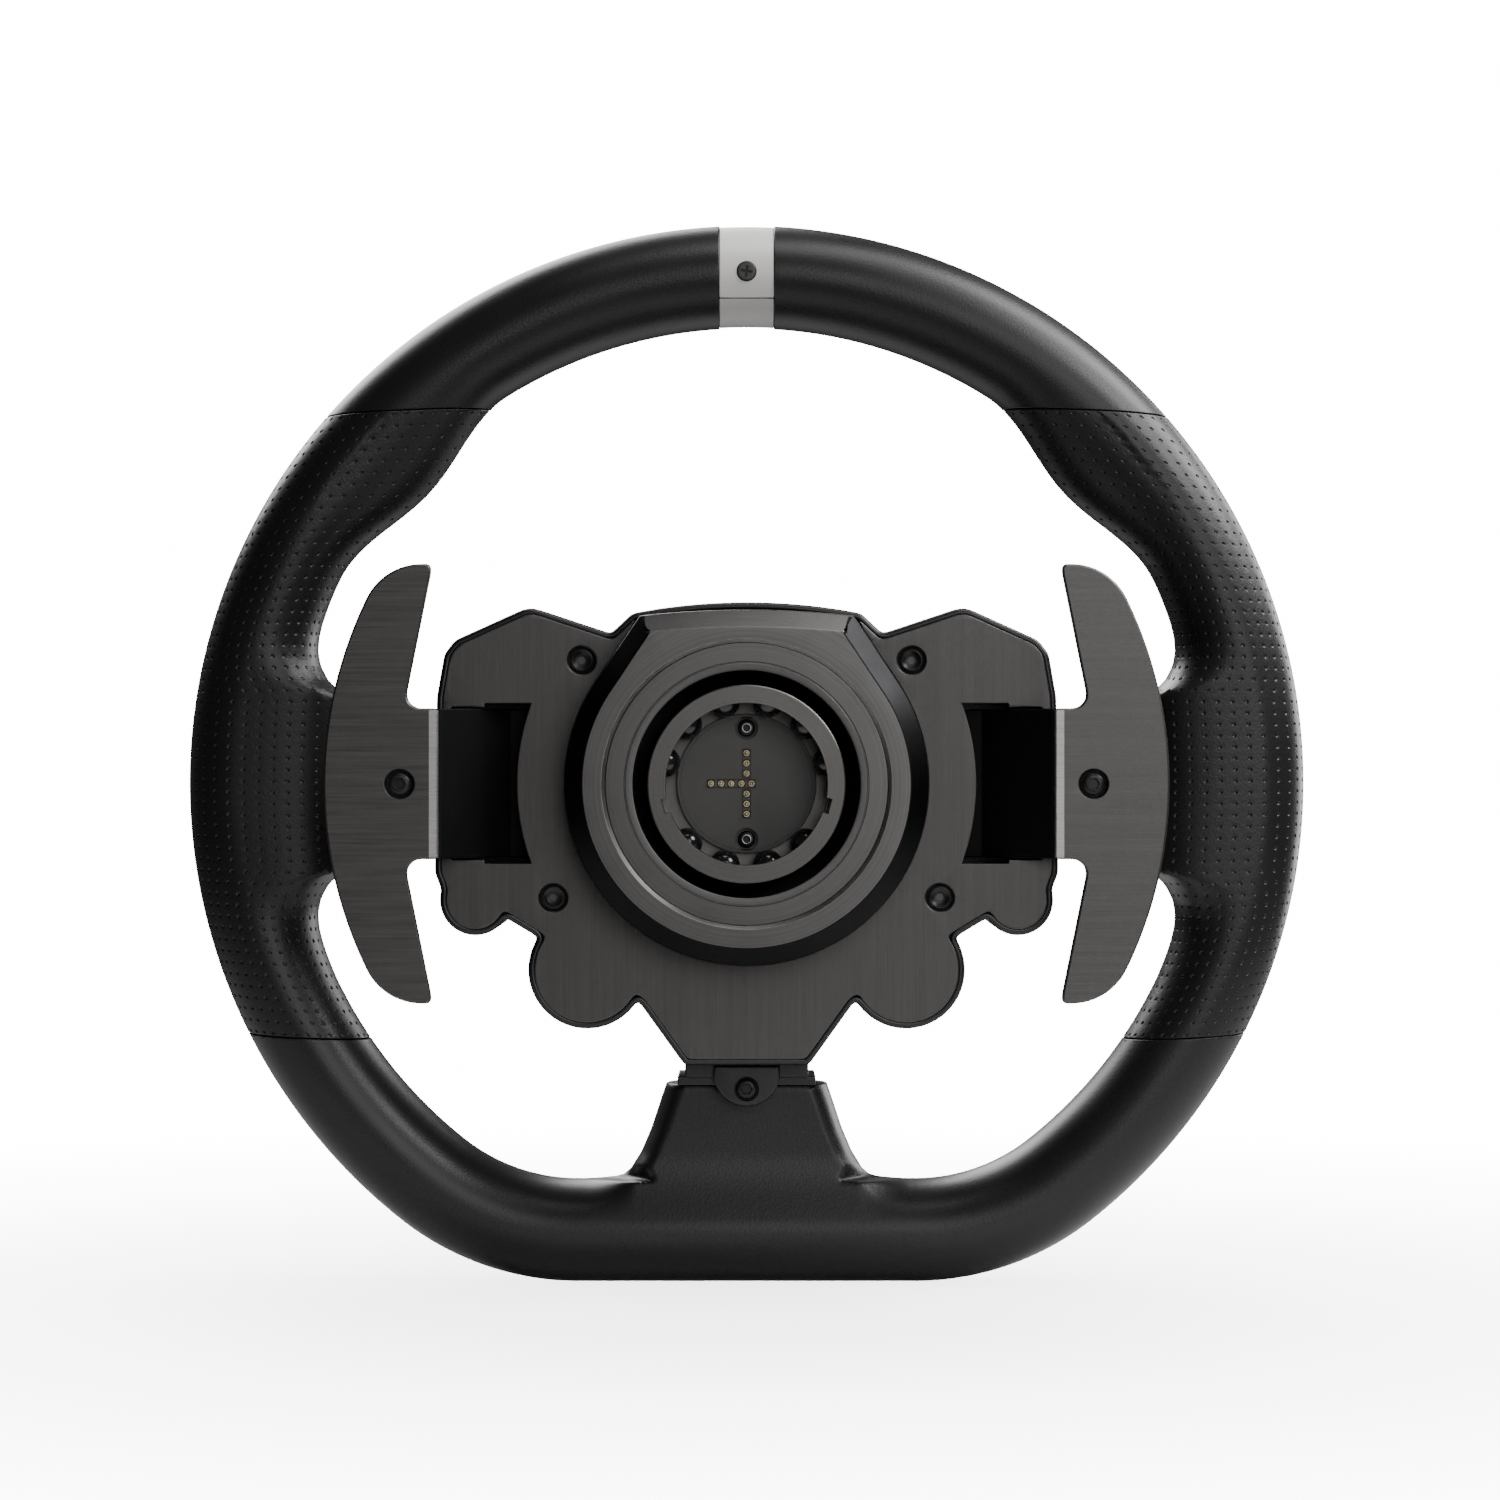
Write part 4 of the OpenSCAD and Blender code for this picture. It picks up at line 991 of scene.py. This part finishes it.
def hex_screw(name, c, d, r, socket, body, replaces=()):
    """A button-head screw with a hexagon socket, its face at depth d."""
    b = Builder()
    prof = [(r * 0.32, d), (r * 0.12, d + r * 0.1), (r * 0.03, d + r * 0.25), (0, d + r * 0.45),
            (0, d + 1.4)]
    b.plate([(ccw(circle(c, r, 48)), prof)],
            pits=[(cw(circle(c, socket, 6)), [(0.12, d), (0, d + 0.15), (0, d + 0.95)])])
    b.done(name, "screw", body, replaces, sharp=35)


for i, p in enumerate(PLATE_SCREWS):
    b = Builder()
    dish = [(0.35, 24.02), (0.1, 24.1), (0, 24.35), (0, 25.2)]
    b.wall(ccw(circle(p, 2.95, 56)), dish)
    b.revolve([(2.6, 24.02), (2.35, 24.12), (1.9, 24.42), (1.5, 24.6)], p, 56)
    hexagon = circle(p, 1.12, 6)
    b.cap([circle(p, 1.5, 56), hexagon], 24.6)
    b.wall(hexagon, [(0, 24.6), (0, 25.6)])
    b.cap([hexagon], 25.6)
    b.done("plate_screw_head_%d" % (i + 1), "screw", "wheel", () if i else ["plate_screws"], sharp=35)

# ---------------------------------------------------------------- quick release

b = Builder()
chamfer = [(4.9, 2.0), (4.62, 2.06), (4.35, 2.28), (0.35, 6.62), (0.1, 6.95), (0, 7.4), (0, 21.5), (0.4, 22)]
bore = [(0.95, 2.0), (0.9, 2.02), (0.03, 2.95), (0, 3.1), (0, 22)]
# the bore's lip is drawn in the bright glint steel, a painted highlight
b.plate([(sleeve_loop(0), chamfer), (cw(circle((0, 0), 36.66, 160)), bore)], wall_mats=[1, 2])
for i, f in enumerate(b.f):
    x, y = np.mean([b.v[k][:2] for k in f], 0)
    if b.m[i] == 1 and y > 36 and abs(x) < 27.7 * y / 43.7:  # the top arch takes the face colour as painted light; the rest of the chamfer stays in painted shade
        b.m[i] = 0
b.done("release_ring_outer", ["sleeve", "chamfer_painted_shade", "glint"], "release", ["release_sleeve"], sharp=24)

b = Builder()
b.revolve([(29.4, 8.9), (29.4, 3.35), (29.5, 3.1), (29.75, 3.0), (31.22, 3.0), (31.34, 3.1), (31.4, 3.35),
           (31.6, 3.35), (31.66, 3.1), (31.78, 3.0), (36.3, 3.0), (36.5, 3.05), (36.6, 3.3), (36.6, 22),
           (25.75, 22)], n=180)
# the cam ring's deep inner cone is drawn near-black as painted shade
b.revolve([(29.4, 8.9), (26.3, 14.95), (26.3, 18.6), (25.75, 19), (25.75, 22)], n=180, mat=1)
b.done("release_ring_cam", ["cam", "groove"], "release", ["cam_ring"], sharp=24)

BALL_R, BALL_AT, BALL_D = 4, 22, 14
BALLS = [15, 45, 75, 105, 135, 165, 225, 255, 285, 315]
for i, a in enumerate(BALLS):
    t = math.radians(a)
    c = (BALL_AT * math.cos(t), BALL_AT * math.sin(t))
    b = Builder()
    steps = [math.pi * k / 24 for k in range(25)]
    b.revolve([(BALL_R * math.sin(q), BALL_D - BALL_R * math.cos(q)) for q in steps], c, 40)
    b.done("ball_bearing_%d" % (i + 1), "ball", "ball_%d" % (i + 1), ["locking_ball_%d" % (i + 1)],
           sharp=60, weighted=False)

PITCH = 2.66
PINS = [(0, s * k * PITCH) for k in (1, 2, 3) for s in (1, -1)]
PINS += [((k + 0.5) * PITCH, 0) for k in range(-1, 4)]
PLUG_SCREWS = [(0, 14.6), (0, -14.6)]
b = Builder()
plug_walls = [(ccw(circle((0, 0), 18.3, 160)), [(0.35, 17.0), (0.1, 17.1), (0, 17.35), (0, 20)])]
plug_walls += [(cw(circle(p, 0.98, 28)), [(0.12, 17.0), (0, 17.12), (0, 20)]) for p in PINS]
pits = [(cw(circle(p, 2.9, 48)), [(0.15, 17.0), (0, 17.15), (0, 18.6)]) for p in PLUG_SCREWS]
b.plate(plug_walls, pits=pits, bottom=False)
# a thin groove line round the plug, near-black as painted shade
b.revolve([(17.15, 16.97), (17.3, 17.12), (17.45, 16.97)], n=140, mat=1)
b.done("connector_plate", ["plug", "dark"], "wheel", ["connector_plug"], sharp=30)


def strip_frame(name, x0, x1, y0, y1):
    """A raised frame round one row of contacts."""
    b = Builder()
    out = ccw(fillet([(x0, y0), (x1, y0), (x1, y1), (x0, y1)], 0.25, seg=3))
    x0, x1, y0, y1 = x0 + 0.2, x1 - 0.2, y0 + 0.2, y1 - 0.2
    hole = cw(fillet([(x0, y0), (x1, y0), (x1, y1), (x0, y1)], 0.15, seg=3))
    b.plate([(loop, [(0.05, 16.9), (0, 16.95), (0, 17.05)]) for loop in (out, hole)])
    b.done(name, "strip", "wheel")


H = 1.15  # half width of a frame
strip_frame("contact_frame_upper", -H, H, PITCH * 0.5, PITCH * 3 + H)
strip_frame("contact_frame_lower", -H, H, -PITCH * 3 - H, -PITCH * 0.5)
strip_frame("contact_frame_side", -PITCH * 0.5 - H, PITCH * 3.5 + H, -H, H)

b = Builder()
for p in PINS:
    b.revolve([(0.0, 14.8), (0.16, 14.82), (0.3, 14.95), (0.36, 15.15), (0.38, 16.3), (0.5, 16.4),
               (0.52, 20)], p, 24)
b.done("contact_plungers", "gold", "contacts", ["contact_pins"], sharp=50)
b = Builder()
for p in PINS:
    b.revolve([(0.56, 17.2), (0.56, 16.5), (0.62, 16.38), (0.72, 16.38), (0.8, 16.5), (0.84, 17.2)], p, 24)
b.done("contact_barrels", "barrel", "wheel", sharp=50)
for i, p in enumerate(PLUG_SCREWS):
    hex_screw("connector_screw_head_%d" % (i + 1), p, 17.35, 2.3, 0.95, "wheel",
              () if i else ["connector_screws"])
    b = Builder()
    b.revolve([(0.95, 17.45), (0.98, 17.3), (1.1, 17.25), (1.22, 17.3), (1.25, 17.45)], p, 32)
    b.done("connector_screw_rim_%d" % (i + 1), "steel", "wheel", sharp=50)

# ---------------------------------------------------------------- lower spoke and its tab

b = Builder()
bar = ccw(fillet([(-13.4, -111), (13.4, -111), (13.4, -38.2), (-13.4, -38.2)], 0.4, seg=2))
b.plate([(bar, round_edge(48, 56, 0.6, 0.6))])
tab = ccw(arc((0, -77.0), 8.9, 180 - 13.3, 360 + 13.3, 32))
b.plate([(tab, [(0.75, 34.0), (0.35, 34.12), (0.1, 34.4), (0, 34.8), (0, 48)])],
        pits=[(cw(circle((0, -81.2), 3.15, 48)), [(0.15, 34.0), (0, 34.15), (0, 37)])])
b.done("lower_spoke_bar", "shell", "wheel", ["lower_spoke"], sharp=35)
hex_screw("tab_screw_head", (0, -81.2), 33.75, 2.75, 1.5, "wheel", ["lower_spoke_screw"])

# side spokes
b = Builder()
bead = [(1.2, 0.0), (0.5, 0.15), (0.15, 0.5), (0, 1.1)]
cover = [(t, 47.3 + d) for t, d in bead] + [(t, 56.7 - d) for t, d in bead[::-1]]
for s in (1, -1):
    P = fillet([(79, -17.6), (107.5, -17.6), (107.5, 17.6), (79, 17.6)], 0.4, seg=2)
    P = ccw([(s * x, y) for x, y in P])
    slots = []
    for y in (-9.2, 0, 9.2):
        Q = fillet([(84.5, y - 2.6), (103.5, y - 2.6), (103.5, y + 2.6), (84.5, y + 2.6)], 2.55, seg=8)
        slots.append(cw([(s * x, v) for x, v in Q]))
    b.plate([(P, cover)], bottom=False)
    grooves = [(0.3, 56.7), (0.05, 56.55), (0, 56.3), (-0.4, 55.8), (-0.9, 55.7)]
    for Q in slots:
        b.cap([b.wall(Q, grooves)[1]], 55.7)
    b.cap([offset(P, 1.2)] + [offset(Q, 0.3) for Q in slots], 56.7)
b.done("side_spoke_covers", "alloy", "wheel", sharp=35)

# ---------------------------------------------------------------- paddles

def blade_loop(side):
    """A blade that follows a circle of radius R about the axis, with ears of radius r above and below."""
    R = 110.2
    r, top = 16.0, 57.3
    cy = top - r
    cx = math.sqrt((R - r) ** 2 - cy ** 2)
    end = math.degrees(math.atan2(cy, cx))
    upper = [(80.3, 19.7), (89.3, 19.7), (82.2, 55.0), (82.2, top)]
    half = upper + arc((cx, cy), r, 90, end, 16) + arc((0, 0), R, end - 0.8, 0, 30)
    radii = [1.2, 6.0, 9.0, 1.6] + [0] * (len(half) - 4)
    P = fillet(half + [(x, -y) for x, y in half[-2::-1]], radii + radii[-2::-1])
    return ccw([(side * x, y) for x, y in P])


def stand(x, y, d):
    """Places an outline drawn from above: its second number is the depth."""
    return (x, d, y)


for side, s in SIDES:
    b = Builder()
    bevel = [(0.55, 11.0), (0.12, 11.3), (0, 11.6), (0, 13.5), (0.35, 14)]
    pit = [(0.2, 11.0), (0.02, 11.1), (-0.3, 11.9), (-0.8, 12.3), (-1.2, 12.4)]
    b.plate([(resample(blade_loop(s), 0.8), bevel)], pits=[(cw(circle((s * 90.4, 0), 3.95, 48)), pit)])
    # a narrow bevel at the blade's inner edge, coloured bright as a painted highlight
    strip = [(82.7, 10.94), (80.75, 10.96), (80.3, 11.45)]
    b.add([(s * x, y, d) for x, d in strip for y in (19.2, -19.2)], [(0, 1, 3, 2), (2, 3, 5, 4)], 1)
    b.done(side + "_blade", ["paddle", "edge"], side + "_shifter", [side + "_paddle"], sharp=30)
    hex_screw(side + "_blade_screw", (s * 90.4, 0), 11.15, 3.1, 1.5, side + "_shifter",
              [side + "_paddle_screw"])
    b = Builder()
    arm = [(97, 14.02), (79.9, 14.02), (62.42, 31.5), (54, 31.5), (54, 33.9), (63.4, 33.9),
           (80.9, 16.42), (97, 16.42)]
    arm = ccw(fillet([(s * x, d) for x, d in arm], [0.5, 1.0, 1.0, 0.5, 0.5, 2.5, 2.5, 0.5], seg=4))
    b.plate([(arm, [(0.3, -19.6), (0, -19.3), (0, 19.3), (0.3, 19.6)])], place=stand)
    foot = ccw([(s * x, d) for x, d in [(47, 31.6), (59, 31.6), (59, 33.8), (47, 33.8)]])
    b.plate([(foot, [(0.2, -15), (0, -14.8), (0, 14.8), (0.2, 15)])], place=stand)
    hinge = ccw(circle((s * 47, 37), 4.98, 48))
    b.plate([(hinge, [(0.4, -15), (0, -14.6), (0, 14.6), (0.4, 15)])], place=stand)
    b.done(side + "_shift_arm", "carrier", side + "_shifter", [side + "_paddle_carrier"], sharp=35)

# ---------------------------------------------------------------- controls on the driver's side

def fluted(c, r, n, depth):
    """A circle with n rounded flutes."""
    t = np.linspace(0, 2 * math.pi, 216, endpoint=False)
    q = r - depth * np.clip(np.cos(n * t), 0, 1) ** 3.0
    return np.stack([c[0] + q * np.cos(t), c[1] + q * np.sin(t)], 1)


for side, s in SIDES:
    c = (s * DIAL[0], DIAL[1])
    b = Builder()
    rim = ccw(fluted(c, 12.4, 18, 0.9))
    first, _ = b.wall(rim, [(1.6, 75.0), (0.8, 74.85), (0.25, 74.4), (0, 73.6), (0, 68.2)])
    b.cap([first, cw(circle(c, 9.0, 72))], 75.0)
    b.revolve([(9.0, 75.0), (8.8, 74.9), (8.6, 74.5), (8.3, 74.35), (0, 74.2)], c, 72, 1)
    b.revolve([(11.4, 68.2), (12.35, 68.0), (12.4, 66.9), (12.2, 66.4), (11.9, 66.3), (0, 66.3)], c, 96)
    mark = ccw([(c[0] + x, c[1] + y) for x, y in ((-0.55, 4.2), (0.55, 4.2), (0.55, 8.1), (-0.55, 8.1))])
    b.plate([(mark, [(0, 74.2), (0, 74.5), (0.1, 74.6)])], mat=2, top=False)
    b.done(side + "_dial_cap", ["knob", "cap", "white"], side + "_dial_knob", [side + "_dial"], sharp=30)
    b = Builder()
    for k in range(12):
        a = math.radians(30 * k + 15)
        x, y = c[0] + 14.1 * math.cos(a), c[1] + 14.1 * math.sin(a)
        u, v = math.cos(a) * 0.8, math.sin(a) * 0.8
        w, z = -math.sin(a) * 0.22, math.cos(a) * 0.22
        tick = [(x - u - w, y - v - z), (x + u - w, y + v - z), (x + u + w, y + v + z),
                (x - u + w, y - v + z)]
        b.plate([(ccw(tick), [(0, 65.9), (0, 66.04), (0.05, 66.08)])], top=False)
    b.done(side + "_dial_marks", "white", "wheel")


def dished_key(name, c, r, mat, body, replaces, dish):
    """A round key: a skirt, a rounded shoulder and a dished face."""
    b = Builder()
    prof = [(r, KEY_FOOT), (r, KEY_TOP - 0.9), (r - 0.1, KEY_TOP - 0.45), (r - 0.4, KEY_TOP - 0.15),
            (r - 0.9, KEY_TOP)]
    prof += [(r * q, KEY_TOP - dish * (1 - (q / 0.75) ** 2)) for q in (0.7, 0.5, 0.3, 0.12, 0)]
    b.revolve(prof, c, 56)
    b.done(name, mat, body, replaces, sharp=30)


for side, s in SIDES:
    dished_key(side + "_thumb_key", (s * THUMB_KEY[0], THUMB_KEY[1]), 5.2, "knob",
               side + "_thumb_button_body", [side + "_thumb_button"], 0.5)
    b = Builder()
    b.plate([(ccw(ear(s, 0)), [(0, KEY_FOOT), (0, 67.1), (0.12, 67.5), (0.4, 67.82), (0.8, 67.98),
                               (1.2, KEY_TOP)])], top=False)
    b.done(side + "_ear_cap", "key_grey", side + "_ear_key_body", [side + "_ear_key"], sharp=30)

for key, (dx, dy), mat in zip(("up", "right", "down", "left"), CROSS,
                              ("key_yellow", "key_red", "key_green", "key_blue")):
    dished_key("action_%s_cap" % key, (ACTION[0] + ACTION_STEP * dx, ACTION[1] + ACTION_STEP * dy), 4.7,
               mat, "action_button_%s_body" % key, ["action_button_" + key], 0.35)
dished_key("home_cap", HOME, 5.5, "key_grey", "home_button_body", ["home_button"], 0.4)

b = Builder()
b.revolve([(0, 67.8), (11.6, 67.8), (12.2, 68.0), (12.45, 68.5), (12.5, 69.4), (12.4, 70.4), (12.0, 71.2),
           (11.3, 71.7), (10.6, 71.8), (9.5, 71.65), (6, 71.2), (0, 71.0)], PAD, 96)
cross = fillet([(PAD[0] + x, PAD[1] + y) for x, y in cross_loop(3.3, 11.0)], 0.8, seg=4)
b.plate([(ccw(cross), [(0, 70.9), (0, 72.0), (0.15, 72.5), (0.5, 72.85), (1.0, 73.0)])], top=False)
for a in range(4):
    t = math.radians(90 * a + 90)
    q = [(PAD[0] + 8.3 * math.cos(t) + r * math.cos(t + o), PAD[1] + 8.3 * math.sin(t) + r * math.sin(t + o))
         for r, o in ((1.3, 0), (1.1, 2.2), (1.1, -2.2))]
    b.plate([(ccw(q), [(0, 72.9), (0, 73.02), (0.1, 73.06)])], top=False, mat=1)
b.done("direction_pad", ["knob", "key_grey"], "pad_cap", ["dpad_cap"], sharp=30)

b = Builder()
b.revolve([(27, 65.8), (27, 68.2), (26.85, 68.65), (26.45, 68.92), (25.8, 69.0), (25.0, 69.0),
           (24.8, 68.85), (24.7, 68.5), (24.3, 68.5), (24.2, 68.7), (23.9, 68.8), (12, 68.95), (0, 69.0)],
          (0, 6), 160)
b.done("centre_badge", "cap", "wheel", ["centre_cap"], sharp=26)

# ---------------------------------------------------------------- CAD nodes that stay

KEPT = {
    "rim_core": "alloy", "hub_frame": "alloy", "qr_socket": "socket", "sleeve_spring": "steel",
    "frame_bolts": "steel", "right_pivot_pin": "steel", "left_pivot_pin": "steel",
    "paddle_magnets": "steel", "dial_encoders": "alloy", "dpad_pivot": "carrier",
    "main_board": "board", "switches": "shell",
}
for name, mat in KEPT.items():
    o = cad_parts[name]
    for k in range(len(o.material_slots)):
        o.material_slots[k].material = M[mat]
    o.data.shade_smooth()
    o.data.set_sharp_from_angle(angle=math.radians(30))
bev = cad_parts["qr_socket"].modifiers.new("bevel", "BEVEL")
bev.width = 0.0003
bev.segments = 2
bev.limit_method = "ANGLE"
bev.angle_limit = math.radians(50)

# ---------------------------------------------------------------- stage, light and camera

def floor_disc(r=2.2, z=-0.13425, n=96, rings=14):
    """A pale floor under the wheel's lowest point that fades out towards its edge."""
    turn = [2 * math.pi * i / n for i in range(n)]
    verts = [(0, 0, z)]
    for j in range(1, rings + 1):
        verts += [(r * (j / rings) * math.cos(t), r * (j / rings) * math.sin(t) - 0.04, z) for t in turn]
    faces = [(0, 1 + i, 1 + (i + 1) % n) for i in range(n)]
    for k in range(1, 1 + (rings - 1) * n, n):
        faces += [(k + i, k + n + i, k + n + (i + 1) % n, k + (i + 1) % n) for i in range(n)]
    me = bpy.data.meshes.new("floor")
    me.from_pydata(verts, [], faces)
    o = bpy.data.objects.new("floor", me)
    bpy.context.scene.collection.objects.link(o)
    m = new_mat("floor_pale", (0.86, 0.86, 0.86), 0.85, spec=0.2)
    v = coords(m)
    ln = node(m, "ShaderNodeVectorMath", operation="LENGTH")
    link(m, v, "Vector", ln, 0)
    fade = map_range(m, ln, "Value", 0.15, 1.0, 0.10, 0.55)
    fine = noise(m, v, 300.0, 2.0)
    link(m, bump(m, fine, "Fac", 0.02, 0.0002), "Normal", bsdf(m), "Normal")
    clear = node(m, "ShaderNodeBsdfTransparent")
    mix = node(m, "ShaderNodeMixShader")
    link(m, fade, "Result", mix, 0)
    link(m, bsdf(m), 0, mix, 1)
    link(m, clear, 0, mix, 2)
    link(m, mix, 0, m.node_tree.nodes["Material Output"], 0)
    me.materials.append(m)


floor_disc()


AIM = (0, -0.03, 0.0)


def area_light(name, loc, size, size_y, power):
    L = bpy.data.lights.new(name, "AREA")
    L.shape = "RECTANGLE"
    L.size, L.size_y, L.energy = size, size_y, power
    o = bpy.data.objects.new(name, L)
    o.location = loc
    o.rotation_euler = (Vector(AIM) - Vector(loc)).to_track_quat("-Z", "Y").to_euler()
    bpy.context.scene.collection.objects.link(o)


area_light("key_from_photo_right", (-0.95, 0.6, 0.85), 0.55, 0.55, 12)
area_light("side_from_photo_right", (-1.1, -0.2, 1.1), 0.7, 1.1, 34)
area_light("front_soft", (-0.45, 1.6, 0.4), 0.9, 0.9, 9)
area_light("top_soft", (-0.2, 0.15, 1.15), 0.9, 0.4, 5)
area_light("driver_side", (0.5, -1.1, 0.8), 1.0, 0.8, 20)
area_light("driver_fill", (-0.9, -1.0, 0.2), 0.6, 0.9, 9)

world = bpy.data.worlds.new("studio")
bpy.context.scene.world = world
world.use_nodes = True
wn, wl = world.node_tree.nodes, world.node_tree.links
wn.clear()
mixw = wn.new("ShaderNodeMixShader")
wl.new(wn.new("ShaderNodeLightPath").outputs["Is Camera Ray"], mixw.inputs[0])
# what lights the wheel, and what the camera sees behind it
for socket, colour, strength in ((1, (0.9, 0.92, 0.95), 0.07), (2, (1, 1, 1), 16.0)):
    back = wn.new("ShaderNodeBackground")
    back.inputs["Color"].default_value = (*colour, 1)
    back.inputs["Strength"].default_value = strength
    wl.new(back.outputs[0], mixw.inputs[socket])
wl.new(mixw.outputs[0], wn.new("ShaderNodeOutputWorld").inputs[0])

cam = bpy.data.cameras.new("camera")
cam.sensor_width = 36
cam.lens = 106.85
cam_o = bpy.data.objects.new("camera", cam)
cam_o.location = (-0.0009, 1.148, 0.0088)
cam_o.rotation_euler = (math.radians(90), 0, math.radians(180))
bpy.context.scene.collection.objects.link(cam_o)
bpy.context.scene.camera = cam_o
